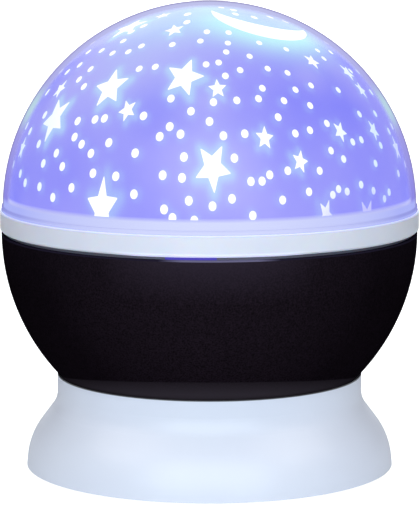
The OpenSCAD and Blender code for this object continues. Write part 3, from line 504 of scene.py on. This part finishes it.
# Gloss polystyrene: bright white, with turned rings 1.2 mm apart from the mould
gloss_ps, tree, shader, place = new_finish("gloss_white_polystyrene", IOR=1.59, Roughness=0.15)
rings = add(tree, "TexWave", {"Vector": place, "Scale": 265, "Detail": 1, "Distortion": 0.2},
            wave_type="RINGS", rings_direction="Z").outputs["Fac"]
mottle(shader, rings, ("#F6F8FD", "#EEF1F9"), gloss=(0.12, 0.22))
dress(gloss_ps, "reflector_plate")


# ---- Star film ----
# Thin polycarbonate hemisphere, thermoformed, printed violet inside. It stands on the
# reflector, lit from within. The lowest 5 mm stay unprinted. The print leaves bare windows:
# stars, dots and a crescent, drawn in degrees round the film and up from its rim, where
# azimuth 0 is the plain side.

film_low, film_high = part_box("star_film")
film_r = (film_high.x - film_low.x) / 2
film_z = film_high.z - film_r
film_wall = 0.0005
print_edge = 0.0855
print_fade_top, print_fade_foot = print_edge + 0.0005, print_edge - 0.0009

# Azimuth, elevation, reach of the tips in mm, and turn of the first tip in degrees
stars = [(-9.5, 44.6, 6, 5), (0.9, 17.8, 5.5, 59), (-37.5, 40.2, 5.8, 33),
        (-57.5, 29.1, 5.9, 52), (-30.1, 6.1, 5.5, 20), (2.8, 40.7, 2.8, 21),
        (-22.9, 64.5, 3, 47), (-27.2, 33.4, 2.9, 49), (16.4, 25.7, 2.8, 10),
        (26.3, 18.8, 2.6, 0), (43.1, 26.3, 2.6, 56), (48.2, 49.1, 2.6, 52),
        (67, 43.8, 2.8, 37), (67, 37.6, 2.5, 61), (60, 25.4, 2.6, 38), (72.8, 19, 2.9, 16),
        (-65.4, 37.9, 2.8, 14), (-73.3, 18.9, 2.7, 19), (32.9, 4, 2.8, 62),
        (48, 1.2, 3.9, 54), (-64.4, 64.6, 5.3, 53), (-52.2, 73.5, 2.3, 70)]

# Azimuth and elevation
dots = [(-51, 66), (-54.1, 62.3), (30.5, 83.5), (-113, 83), (113, 83), (39.6, 79.5),
        (-102, 77.5), (102, 77.5), (-24.9, 75.5), (30, 75.5), (-99, 73.5), (44.8, 72.2),
        (68, 71.5), (-17.9, 69.4), (75.7, 67.6), (-95.5, 66), (-1.6, 63.7), (11.6, 63.2),
        (-4.8, 59), (-50.7, 57.8), (9.4, 58), (26.2, 57.8), (-93, 57), (-18.9, 57.2),
        (93, 57), (-35.3, 56.1), (-84, 55), (84.5, 55), (38.8, 54.5), (7.7, 54.1),
        (-40.2, 53.4), (-59.3, 53), (59.5, 53), (-49.2, 52.4), (17.9, 52.2), (-71, 51.7),
        (70.7, 51.6), (3.8, 49.9), (57.9, 49.7), (-1.4, 49.2), (-91.5, 48), (-22.3, 48),
        (91.5, 48), (23.7, 47.3), (-65.6, 46.7), (-29, 47.1), (12.1, 47), (-54.4, 45.8),
        (31.5, 45.5), (6, 45), (71.5, 44), (-71.7, 43.6), (-83, 43), (81.5, 43),
        (-56.7, 41.9), (39.1, 40.8), (18.9, 40.6), (-50.8, 39.8), (31.5, 39.7),
        (51.3, 38.6), (90, 38.5), (-90, 38), (-13, 37.4), (16.6, 37.3), (9.1, 36.9),
        (1.3, 36.4), (25.5, 36.4), (76.1, 36.1), (-76.7, 36), (34.8, 34.5), (-5.9, 33.6),
        (-21.1, 31.9), (21.9, 31.5), (55.8, 30.6), (-34.7, 30.6), (0, 30.6),
        (-65.2, 29.6), (-38.2, 30.1), (66.6, 29.9), (-45.2, 29.2), (-12.1, 29),
        (38.8, 28.9), (31.7, 27.3), (-8.6, 26.9), (10.5, 27), (4.1, 26.5), (26.4, 26.6),
        (-14.8, 26.1), (-79, 25), (78, 25), (-44.1, 24.6), (71.6, 24.1), (-71.5, 24.1),
        (-30.7, 23.8), (51.3, 23.3), (-40.4, 22.8), (47, 23), (-60.9, 21.3), (-21.6, 21.3),
        (37.4, 21.2), (60.9, 20.9), (-36.1, 20.5), (-7.2, 20.6), (7, 20.3), (-50, 19.6),
        (41.4, 18.6), (22.1, 16.5), (-55.1, 16.3), (32.1, 16), (55, 16.3), (-46, 16.2),
        (-34.1, 15.2), (-12.9, 15.6), (16.7, 15.6), (-87.5, 15), (-26.6, 14.8), (-7.5, 15),
        (11.3, 14), (14.4, 14), (79, 13.7), (-79.7, 13.6), (-68.6, 12.1), (68.4, 12.2),
        (46.5, 11.2), (-41, 10.8), (-20.7, 10.3), (27.9, 10.6), (37.7, 10.7),
        (-63.6, 10.1), (-54.8, 9.9), (40.7, 9.8), (6, 9.5), (35.5, 9.3), (-5.5, 9),
        (19.9, 8.8), (51.6, 9.1), (59.7, 7.9), (-48, 7.6), (0.8, 7.6), (-12.1, 6.6),
        (56.7, 6.4), (11.5, 5), (-9.8, 4.4), (-4, 3.8)]


def stretch(elevation):
    """How much longer than wide a star is: the forming draws the film most at the rim."""
    return 1.24 + 0.006 * max(0, 45 - elevation) + 0.03 * max(0, 16 - elevation)


def front_azimuth(azimuth):
    """The azimuth, counted from the plain side or from the far one, whichever is nearer."""
    return azimuth if abs(azimuth) <= 90 else azimuth - 180


def dot_radius(azimuth, elevation):
    """In mm: the print came out thickest a little left of the middle, and thinner near the top."""
    lean = math.radians(1.8 * (front_azimuth(azimuth) + 34))
    return (1.075 + 0.11 * math.cos(lean)) * max(0.85, 1 - 0.0065 * max(0, elevation - 30))


def dot_stretch(azimuth, elevation):
    """How much longer than wide a dot is."""
    side = min(1, abs(front_azimuth(azimuth)) / 40)
    return 1.27 - 0.1 * side + min(0.35, 0.035 * max(0, elevation - 58))


# The crescent lies between two circles on the film: azimuth, elevation and radius
moon_outer = (52.1, 71.8, 13.7)
moon_inner = (74.0, 76.3, 14.2)

front_reach = 84            # degrees: what stands further round isn't repeated at the back
star_room, dot_room = 4, 3.2
star_dip = 0.45             # of the reach: where two tips of a star meet
big_reach = 4               # mm: a star with longer tips lets more light by


def towards(azimuth, elevation):
    """The direction from the film's middle, as a unit vector."""
    a, b = math.radians(azimuth), math.radians(elevation)
    return Vector((math.sin(a) * math.cos(b), -math.cos(a) * math.cos(b), math.sin(b)))


def repeated(shapes, reach):
    """The shapes, and on the back half the same turned half round, where they leave room."""
    seen = list(shapes)
    for shape in shapes:
        if abs(shape[0]) > front_reach:
            continue
        back = (shape[0] + 180,) + tuple(shape[1:])
        way = towards(*back[:2])
        if all(math.degrees(way.angle(towards(*other[:2]))) > reach for other in seen):
            seen.append(back)
    return seen


stars = repeated(stars, star_room)
dots = repeated(dots, dot_room)


def pick(piece, wanted):
    """Goes to edit mode with only the wanted points of the active piece selected."""
    bpy.ops.object.mode_set(mode="EDIT")
    bpy.ops.mesh.select_all(action="DESELECT")
    bpy.ops.object.mode_set(mode="OBJECT")
    for vertex in piece.data.vertices:
        vertex.select = wanted(vertex.co)
    bpy.ops.object.mode_set(mode="EDIT")


def give_wall(piece, thickness, side):
    """Thickens the active piece, outwards where side is 1 and inwards where it is -1."""
    wall = piece.modifiers.new("wall", "SOLIDIFY")
    wall.thickness = thickness
    wall.offset = side
    bpy.ops.object.modifier_apply(modifier=wall.name)


# Shell: the upper half of a sphere on a short straight foot, with its wall to the inside
bpy.ops.object.select_all(action="DESELECT")
bpy.ops.mesh.primitive_uv_sphere_add(segments=384, ring_count=192, radius=film_r,
                                     location=(0, 0, film_z))
film = bpy.context.object
film.name = "printed_star_film"
bpy.ops.object.transform_apply(location=True)
pick(film, lambda point: point.z < film_z - 1e-5)
bpy.ops.mesh.delete(type="VERT")
bpy.ops.mesh.select_non_manifold()
bpy.ops.mesh.extrude_edges_move(TRANSFORM_OT_translate={"value": (0, 0, film_low.z - film_z)})
bpy.ops.mesh.select_all(action="SELECT")
bpy.ops.mesh.remove_doubles(threshold=1e-6)
bpy.ops.mesh.normals_make_consistent(inside=False)
bpy.ops.object.mode_set(mode="OBJECT")
give_wall(film, film_wall, -1)
bpy.ops.object.shade_smooth_by_angle(angle=math.radians(40))

# Painted glow: light that leaves a window a little aslant strikes the print again nearer the
# middle of each half, painted there as colour. Every point keeps how much painted glow there
# is close by and further off, and how deep the violet is, paler where each LED's beam reaches.
count = len(film.data.vertices)
points = np.empty(count * 3, np.float32)
film.data.vertices.foreach_get("co", points)
points = points.reshape(-1, 3) - np.array([0, 0, film_z], np.float32)
points /= np.linalg.norm(points, axis=1)[:, None]
glow = np.zeros(count)
wide = np.zeros(count)
glow_drift = 0.035      # of the way to the middle
middle_lift = 0.18
glow_cos = 0.9          # a window's glow reaches 26 degrees at most


def degrees_from(azimuth, elevation):
    """How far every point of the film lies from a direction."""
    return np.degrees(np.arccos(np.clip(points @ np.array(towards(azimuth, elevation)), -1, 1)))


def lay(azimuth, elevation):
    """East and north of every point from a window's glow, in mm, and which points are near."""
    way = towards(azimuth, elevation)
    heart = Vector((0, -1 if way.y < 0 else 1, middle_lift)).normalized()
    way = (way + (heart * way.dot(heart) - way) * glow_drift).normalized()
    east = Vector((-way.y, way.x, 0)).normalized()
    up = way.cross(east)
    near = points @ np.array(way) > glow_cos
    spot = points[near] * film_r * 1000
    return near, spot @ np.array(east), spot @ np.array(up)


def star_gap(x, y, reach, turn):
    """How far a point is outside a five-pointed star's outline, in mm; below 0 is inside."""
    angle = np.mod(np.degrees(np.arctan2(y, x)) - turn + 36, 72) - 36
    angle = np.radians(np.abs(angle))
    r = np.hypot(x, y)
    px, py = r * np.cos(angle) - reach, r * np.sin(angle)
    dip = np.array([math.cos(math.radians(36)), math.sin(math.radians(36))]) * star_dip * reach
    edge = dip - np.array([reach, 0])
    along = np.clip((px * edge[0] + py * edge[1]) / (edge @ edge), 0, 1)
    gap = np.hypot(px - along * edge[0], py - along * edge[1])
    return np.where(px * edge[1] - py * edge[0] > 0, gap, -gap)


for azimuth, elevation, reach, turn in stars:
    near, x, y = lay(azimuth, elevation)
    y = y / stretch(elevation)
    gap = np.maximum(star_gap(x, y, reach, turn), 0)
    big = reach > big_reach
    spread, close_by, further = (1.5, 0.45, 0.15) if big else (1, 0.3, 0.12)
    side = abs(front_azimuth(azimuth))
    fade = 1 if big else 1 - 0.6 * min(1, max(0, (side - 30) / 20))
    fade *= min(1, 0.35 + elevation / 25)
    glow[near] = np.maximum(glow[near], np.exp(-(gap / spread) ** 2) * close_by * fade)
    wide[near] += np.exp(-(np.hypot(x, y) / (reach * 1.3)) ** 2) * further * fade
for azimuth, elevation in dots:
    near, x, y = lay(azimuth, elevation)
    gap = np.hypot(x, y / dot_stretch(azimuth, elevation)) - dot_radius(azimuth, elevation)
    gap = np.maximum(gap, 0)
    glow[near] = np.maximum(glow[near], np.exp(-(gap / 0.8) ** 2) * 0.12)
outer, inner = degrees_from(*moon_outer[:2]), degrees_from(*moon_inner[:2])
gap = np.maximum(outer - moon_outer[2], moon_inner[2] - inner) * math.radians(film_r * 1000)
# The crescent's glow is strongest at its belly, away from the bite
belly_way = np.array(towards(*moon_outer[:2]) - towards(*moon_inner[:2]))
belly_way /= np.linalg.norm(belly_way)
belly = (points - np.array(towards(*moon_outer[:2]))) @ belly_way
belly = np.clip(belly / math.sin(math.radians(moon_outer[2])) * 1.6, 0, 1)
bright = np.where(inner > moon_inner[2], 0.25 + 0.75 * belly, 0.15)
glow = np.maximum(glow, np.exp(-(np.maximum(gap, 0) / 6.5) ** 1.5) * bright)
wide += np.exp(-(np.maximum(gap, 0) / 9) ** 2) * 0.4

# Azimuth, elevation, spread in degrees, and how much paler a beam's painted light makes the violet
beams = ((-1, 16, 15, 0.5), (-50, 51, 18, 0.35), (0, 75, 22, 0.3), (67, 45, 10, 0.3),
         (-62, 33, 12, 0.25), (41, 34, 15, -0.5), (-19, 34, 9, -0.25), (-52, 9, 20, -0.12),
         (49, 14, 20, -0.2), (40, 24, 11, 0.33), (-12, 4, 15, -0.31), (-32, 52, 20, 0.22),
         (40, 44, 6, 0.44), (-72, 4, 11, -0.38), (76, 4, 11, -0.39), (-76, 40, 11, -0.41),
         (0, 36, 6, 0.26), (76, 48, 8, -0.51))
shade = np.full(count, 0.5)     # 0 deep blue violet, 1 pale pinkish violet
for azimuth, elevation, spread, amount in beams:
    for half in (0, 180):
        shade += np.exp(-(degrees_from(azimuth + half, elevation) / spread) ** 2) * amount
shade = np.clip(shade, 0, 1)
# Painted cyan glow towards the crown and on a patch up on the left
crown_from, crown_over = 52, 20     # degrees up
rise = np.degrees(np.arcsin(np.clip(points[:, 2], -1, 1)))
rise = np.clip((rise - crown_from) / crown_over, 0, 1)
wide += rise * rise * (3 - 2 * rise) * 0.5
wide += np.exp(-(degrees_from(-38, 60) / 15) ** 2) * 0.35
for name, values in (("glow", glow), ("wide", np.clip(wide, 0, 1)), ("shade", shade)):
    layer = film.data.attributes.new(name, "FLOAT", "POINT")
    layer.data.foreach_set("value", values.astype(np.float32))

# Printed polycarbonate: violet that the light comes through, given as emission, deeper in some
# places than in others as the beams' painted light falls, with a painted cyan-white glow beside
# each window, and pale at the unprinted foot
printed, tree, shader, place = new_finish("printed_polycarbonate", IOR=1.585, Roughness=0.45,
                                          Specular_IOR_Level=0.2, Emission_Strength=0.92)
shade_at, glow_at, wide_at = [add(tree, "Attribute", attribute_name=name).outputs["Fac"]
                              for name in ("shade", "glow", "wide")]
clouds = add(tree, "TexNoise", {"Vector": place, "Scale": 45, "Detail": 3})
drift = add(tree, "MapRange", {"Value": clouds, "From Min": 0.3, "From Max": 0.7,
                               "To Min": -0.1, "To Max": 0.1})
paleness = add(tree, "Math", {0: shade_at, 1: drift}, operation="ADD", use_clamp=True)
violet = add(tree, "Mix", {"Factor": paleness, "A": "#8485FE", "B": "#B4B1FF"})
cyan = add(tree, "Mix", {"Factor": wide_at, "A": violet, "B": "#BEDCFC"})
haloed = add(tree, "Mix", {"Factor": glow_at, "A": cyan, "B": "#C4F8FF"})
height = add(tree, "SeparateXYZ", {"Vector": place}).outputs["Z"]
bare = add(tree, "MapRange", {"Value": height, "From Min": print_fade_top,
                              "From Max": print_fade_foot})
light = add(tree, "Mix", {"Factor": bare, "A": haloed, "B": "#D6DCFF"})
ink = add(tree, "Mix", {"Factor": 1, "A": light, "B": (0.06, 0.06, 0.06, 1)},
          data_type="RGBA", blend_type="MULTIPLY")
feed(shader, {"Base Color": ink, "Emission Color": light})
film.data.materials.append(printed)
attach(film, "film")
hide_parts("star_film")

# Windows: one dot and one star are cut flat, copied round the film and joined, then pressed
# onto its curve. What falls below the print's edge is cut off.
window_lift = 0.00005
window_t = 0.00004
tip_round = 0.07        # of the reach


def onto_film(azimuth, elevation):
    """Takes what is drawn flat about the origin, seen from the front, to its place."""
    return (Matrix.Rotation(math.radians(azimuth), 4, "Z")
            @ Matrix.Rotation(math.radians(-elevation), 4, "X")
            @ Matrix.Translation((0, -film_r, 0)))


def flat_disc(corners, radius, fill="NGON"):
    """A disc about the origin that faces the front."""
    bpy.ops.object.select_all(action="DESELECT")
    bpy.ops.mesh.primitive_circle_add(vertices=corners, radius=radius, fill_type=fill,
                                      rotation=(math.pi / 2, 0, 0))
    bpy.ops.object.transform_apply(rotation=True)
    return bpy.context.object


dot = flat_disc(16, 0.001)

# The star reaches a metre, its first tip to the east; every second corner is drawn in
star = flat_disc(10, 1)
first = star.data.vertices[0].co
star.data.transform(Matrix.Rotation(math.atan2(first.z, first.x), 4, "Y"))
pick(star, lambda point: round(math.degrees(math.atan2(point.z, point.x)) / 36) % 2 == 1)
bpy.ops.transform.resize(value=(star_dip,) * 3, center_override=(0, 0, 0))
bpy.ops.mesh.select_all(action="INVERT")
bpy.ops.mesh.bevel(affect="VERTICES", offset=tip_round, segments=3)
bpy.ops.mesh.select_all(action="SELECT")
bpy.ops.mesh.poke()
bpy.ops.mesh.subdivide(number_cuts=3)
bpy.ops.object.mode_set(mode="OBJECT")

pieces = []
for shape in stars + dots:
    if len(shape) == 4:
        master, size, turn, tall = star, shape[2] / 1000, shape[3], stretch(shape[1])
    else:
        master, size, turn, tall = dot, dot_radius(*shape), 0, dot_stretch(*shape)
    window = master.copy()
    window.data = master.data.copy()
    bpy.context.collection.objects.link(window)
    window.data.transform(onto_film(*shape[:2]) @ Matrix.Diagonal((1, 1, tall, 1))
                          @ Matrix.Rotation(math.radians(-turn), 4, "Y")
                          @ Matrix.Scale(size, 4))
    pieces.append(window)
bpy.data.objects.remove(dot)
bpy.data.objects.remove(star)

# Crescent: a disc on the outer circle, with the inner circle bitten out of it
outer_r = film_r * math.tan(math.radians(moon_outer[2]))
moon = flat_disc(96, outer_r, "TRIFAN")
moon.data.transform(onto_film(*moon_outer[:2]))
bpy.ops.object.mode_set(mode="EDIT")
bpy.ops.mesh.select_all(action="SELECT")
bpy.ops.mesh.subdivide(number_cuts=5)
bite = towards(*moon_inner[:2])
away = math.cos(math.radians(moon_inner[2]))
pick(moon, lambda point: point.normalized().dot(bite) > away)
bpy.ops.mesh.select_mode(type="FACE")
bpy.ops.mesh.delete(type="FACE")
bpy.ops.mesh.select_mode(type="VERT")
bpy.ops.object.mode_set(mode="OBJECT")
for vertex in moon.data.vertices:
    way = vertex.co.normalized()
    if way.dot(bite) > away:
        # Still inside the bite: to the nearest point of its edge
        across = (way - bite * way.dot(bite)).normalized()
        vertex.co = (bite * away + across * math.sin(math.radians(moon_inner[2]))) * film_r
pieces.append(moon)

bpy.ops.object.select_all(action="DESELECT")
for window in pieces:
    window.select_set(True)
bpy.context.view_layer.objects.active = pieces[0]
bpy.ops.object.join()
windows = bpy.context.object
windows.name = "film_windows"
cast = windows.modifiers.new("cast", "CAST")
cast.cast_type = "SPHERE"
cast.factor = 1
cast.use_radius_as_size = False
cast.size = film_r + window_lift
bpy.ops.object.modifier_apply(modifier=cast.name)
windows.data.transform(Matrix.Translation((0, 0, film_z)))
bpy.ops.object.mode_set(mode="EDIT")
bpy.ops.mesh.select_all(action="SELECT")
bpy.ops.mesh.dissolve_degenerate(threshold=1e-6)
bpy.ops.mesh.select_all(action="SELECT")
bpy.ops.mesh.bisect(plane_co=(0, 0, print_edge), plane_no=(0, 0, 1), clear_inner=True)
bpy.ops.object.mode_set(mode="OBJECT")
give_wall(windows, window_t, 1)

middle_x = -0.005               # where the sides count from
slant_from, slant_to = 0.034, 0.057             # across, from middle_x
graze_from, graze_to = 0.0575, 0.064
right_from, right_to = 0.028, 0.04              # across
low_from, low_to = 0.094, 0.0865                # up
plain_from, plain_to = -0.03, -0.038            # towards the plain side
warm_from, warm_to = film_z + 0.053, film_z + 0.057     # up
warm_left_from, warm_left_to = -0.009, -0.014   # across

# Bare polycarbonate: clear film over the lamp, its light given as emission, dazzling white,
# and painted bluer and dimmer round the sides, where the light comes through it aslant. Low
# on the right of the plain side it has painted shade, dim and violet, and at the crown it is a
# little warm
bare_film, tree, shader, place = new_finish("bare_polycarbonate", IOR=1.585, Roughness=0.3,
                                            Specular_IOR_Level=0.2, Base_Color="#606068",
                                            Emission_Strength=1.05)
axis = add(tree, "SeparateXYZ", {"Vector": place}).outputs
from_middle = add(tree, "Math", {0: axis["X"], 1: middle_x}, operation="SUBTRACT")
aside = add(tree, "Math", {0: from_middle}, operation="ABSOLUTE")
slant = add(tree, "MapRange", {"Value": aside, "From Min": slant_from, "From Max": slant_to})
slanted = add(tree, "Mix", {"Factor": slant, "A": "#FDFFFF", "B": "#C6DCFA"})
graze = add(tree, "MapRange", {"Value": aside, "From Min": graze_from, "From Max": graze_to})
grazing = add(tree, "Mix", {"Factor": graze, "A": slanted, "B": "#C2C6F6"})
right = add(tree, "MapRange", {"Value": axis["X"], "From Min": right_from,
                               "From Max": right_to})
low = add(tree, "MapRange", {"Value": axis["Z"], "From Min": low_from, "From Max": low_to})
plain_side = add(tree, "MapRange", {"Value": axis["Y"], "From Min": plain_from,
                                    "From Max": plain_to})
# Painted shade: the windows low on the right of the plain side dimmed to violet
low_right = add(tree, "Math", {0: right, 1: low}, operation="MULTIPLY")
dim = add(tree, "Math", {0: low_right, 1: plain_side}, operation="MULTIPLY")
dimmed = add(tree, "Mix", {"Factor": dim, "A": grazing, "B": "#B4B4FA"})
high = add(tree, "MapRange", {"Value": axis["Z"], "From Min": warm_from, "From Max": warm_to})
left = add(tree, "MapRange", {"Value": axis["X"], "From Min": warm_left_from,
                              "From Max": warm_left_to, "To Min": 0.2, "To Max": 1})
warm = add(tree, "Math", {0: high, 1: left}, operation="MULTIPLY")
light = add(tree, "Mix", {"Factor": warm, "A": dimmed, "B": "#F2E6DE"})
feed(shader, {"Emission Color": light})
windows.data.materials.clear()
windows.data.materials.append(bare_film)
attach(windows, "film")


# ---- Dome ----
# Crystal-clear polystyrene, moulded. Its flange rests on the ring and a lip drops inside it,
# so it lifts straight off.

dome_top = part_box("dome_cover")[1].z
flange_top = 0.08253
flange_line_z = flange_top - 0.0001
line_fade_from, line_fade_to = 0.0007, 0.0003   # up or down from flange_line_z
skin_r = film_r + 0.0009        # outside this is the dome
patch_z = 0.1135                # the middle of a painted mint glow band in the haze
patch_from, patch_to = 0.0085, 0.001            # up or down from patch_z

# Clear polystyrene: the film shows through it unchanged. Towards the edge of the ball the way
# through the wall gets long, and a painted lilac glow stands for that, more so at the double
# wall of the flange and lip, with a painted mint band, a darker painted line over the flange
# and a darker rim. The outer face alone mirrors the room
clear_ps = bpy.data.materials.new("clear_polystyrene")
clear_ps.use_nodes = True
tree = clear_ps.node_tree
tree.nodes.clear()
place = add(tree, "TexCoord").outputs["Object"]
height = add(tree, "SeparateXYZ", {"Vector": place}).outputs["Z"]
clear = add(tree, "BsdfTransparent", {"Color": "#FFFFFF"})
scratches = add(tree, "TexNoise", {"Vector": place, "Scale": 300, "Detail": 4})
gloss = add(tree, "MapRange", {"Value": scratches, "To Min": 0.04, "To Max": 0.14})
mirror = add(tree, "BsdfGlossy", {"Color": "#FFFFFF", "Roughness": gloss})
fresnel = add(tree, "Fresnel", {"IOR": 1.2})
inner_face = add(tree, "NewGeometry").outputs["Backfacing"]
outer_face = add(tree, "Math", {0: 1, 1: inner_face}, operation="SUBTRACT")
outer_fresnel = add(tree, "Math", {0: fresnel, 1: outer_face}, operation="MULTIPLY")
shine = add(tree, "Math", {0: outer_fresnel, 1: 0.35}, operation="MULTIPLY")
body = add(tree, "MixShader", {"Fac": shine, 1: clear, 2: mirror})
edge = add(tree, "LayerWeight", {"Blend": 0.5}).outputs["Facing"]
reach = add(tree, "VectorMath", {0: place, 1: (0, 0, film_z)}, operation="DISTANCE")
skin = add(tree, "Math", {0: reach, 1: skin_r}, operation="GREATER_THAN")
wall_haze = add(tree, "MapRange", {"Value": edge, "From Min": 0.71, "From Max": 0.815},
                interpolation_type="SMOOTHSTEP")
foot_haze = add(tree, "MapRange", {"Value": edge, "From Max": 0.6, "To Max": 0.95})
at_foot = add(tree, "MapRange", {"Value": height, "From Min": print_fade_top,
                                 "From Max": print_fade_foot})
hazy = add(tree, "Mix", {"Factor": at_foot, "A": wall_haze, "B": foot_haze})
up_dome = add(tree, "MapRange", {"Value": height, "From Min": print_edge, "From Max": dome_top})
lilac = add(tree, "Mix", {"Factor": up_dome, "A": "#8E88E4", "B": "#C0C2EB"})
# Painted glow: a mint band across the haze
off_patch = add(tree, "Math", {0: height, 1: patch_z}, operation="SUBTRACT")
patch_gap = add(tree, "Math", {0: off_patch}, operation="ABSOLUTE")
patch = add(tree, "MapRange", {"Value": patch_gap, "From Min": patch_from,
                               "From Max": patch_to, "To Max": 0.75},
            interpolation_type="SMOOTHSTEP")
minty = add(tree, "Mix", {"Factor": patch, "A": lilac, "B": "#BFE2E4"})
doubled = add(tree, "Mix", {"Factor": at_foot, "A": minty, "B": "#AAB2F8"})
# Painted outline: darker lilac at the very rim
rim = add(tree, "MapRange", {"Value": edge, "From Min": 0.86, "From Max": 0.95})
outline = add(tree, "Mix", {"Factor": rim, "A": doubled, "B": "#8C86B8"})
# Painted shade: a darker line along the flange's top
off_line = add(tree, "Math", {0: height, 1: flange_line_z}, operation="SUBTRACT")
line_gap = add(tree, "Math", {0: off_line}, operation="ABSOLUTE")
line = add(tree, "MapRange", {"Value": line_gap, "From Min": line_fade_from,
                              "From Max": line_fade_to})
line_depth = add(tree, "Math", {0: edge, 1: 0.6, 2: 0.08}, operation="MULTIPLY_ADD")
line_share = add(tree, "Math", {0: line, 1: line_depth}, operation="MULTIPLY")
lined = add(tree, "Mix", {"Factor": line_share, "A": outline, "B": "#7E7ED0"})
thick = add(tree, "Math", {0: hazy, 1: line_share}, operation="MAXIMUM")
thick_skin = add(tree, "Math", {0: thick, 1: skin}, operation="MULTIPLY")
# The haze is painted glow, an emission
painted_haze = add(tree, "Emission", {"Color": lined, "Strength": 1})
hazed = add(tree, "MixShader", {"Fac": thick_skin, 1: body, 2: painted_haze})
add(tree, "OutputMaterial", {"Surface": hazed})
dress(clear_ps, "dome_cover")


# ---- Studio ----
# A white floor that runs out of view, three soft lamps in front, behind and above, three
# flagged fills for the skirt, and the camera.

bpy.ops.object.select_all(action="DESELECT")
bpy.ops.mesh.primitive_circle_add(vertices=64, radius=12, fill_type="NGON")
floor = bpy.context.object
floor.name = "studio_floor"

# Matt floor: white to the camera, so that no cast shadow shows, and clear from below, so that
# the underside does
floor_white, tree, shader, place = new_finish("matt_floor", Roughness=0.9,
                                              Specular_IOR_Level=0.1, Base_Color="#F7F8FA",
                                              Emission_Color="#FFFFFF")
seen = add(tree, "LightPath").outputs["Is Camera Ray"]
white_out = add(tree, "MapRange", {"Value": seen, "To Min": 0.05})
feed(shader, {"Emission Strength": white_out})
from_below = add(tree, "NewGeometry").outputs["Backfacing"]
see_through = add(tree, "BsdfTransparent")
one_way = add(tree, "MixShader", {"Fac": from_below, 1: shader, 2: see_through})
feed(tree.nodes["Material Output"], {"Surface": one_way})
floor.data.materials.append(floor_white)

# The fills hang over the two sides and the back, and flags keep their light off the ball
skirt_only = bpy.data.collections.new("skirt_only")
for name in ("base_shell", "power_button", "light_button", "colour_button", "turn_button"):
    skirt_only.objects.link(bpy.data.objects[name])
lit_middle = Vector((0, 0, 0.072))
cool_light, warm_light = (0.84, 0.93, 1), (1, 0.93, 0.9)
for name, spot, size, size_y, watts, colour in (
        ("key_lamp", (0, -2.6, 1.1), 4, 3, 90, cool_light),
        ("back_lamp", (0, 2.6, 1.1), 2.4, 3, 34, cool_light),
        ("top_lamp", (0, 0.3, 2), 1.6, 1.6, 3, (1, 1, 1)),
        ("left_fill", (-1.2, -0.3, 1.5), 1.2, 1.2, 9.6, warm_light),
        ("right_fill", (1.2, -0.3, 1.5), 1.2, 1.2, 9.6, warm_light),
        ("back_fill", (0, 1.2, 1.5), 1.2, 1.2, 9, warm_light)):
    lamp = bpy.data.lights.new(name, "AREA")
    lamp.shape = "RECTANGLE"
    lamp.size, lamp.size_y, lamp.energy, lamp.color = size, size_y, watts, colour
    holder = bpy.data.objects.new(name, lamp)
    bpy.context.collection.objects.link(holder)
    holder.location = spot
    holder.rotation_euler = (lit_middle - Vector(spot)).to_track_quat("-Z", "Y").to_euler()
    if name.endswith("fill"):
        holder.light_linking.receiver_collection = skirt_only

world = bpy.data.worlds.new("studio")
bpy.context.scene.world = world
world.use_nodes = True
tree = world.node_tree
tree.nodes.clear()
seen = add(tree, "LightPath").outputs["Is Camera Ray"]
room = add(tree, "Background", {"Color": (*warm_light, 1), "Strength": 0.12})
white = add(tree, "Background", {"Color": "#FFFFFF", "Strength": 1})
sky = add(tree, "MixShader", {"Fac": seen, 1: room, 2: white})
add(tree, "OutputWorld", {"Surface": sky})

camera_tilt = 8.231         # degrees below the level
lens = bpy.data.cameras.new("camera")
lens.lens = 186.83
lens.sensor_width = 36
lens.clip_start, lens.clip_end = 0.01, 50
camera = bpy.data.objects.new("camera", lens)
bpy.context.collection.objects.link(camera)
camera.location = (0, -0.8105, 0.1842)
camera.rotation_euler = (math.radians(90 - camera_tilt), 0, 0)
bpy.context.scene.camera = camera
bpy.context.scene.view_settings.view_transform = "Standard"
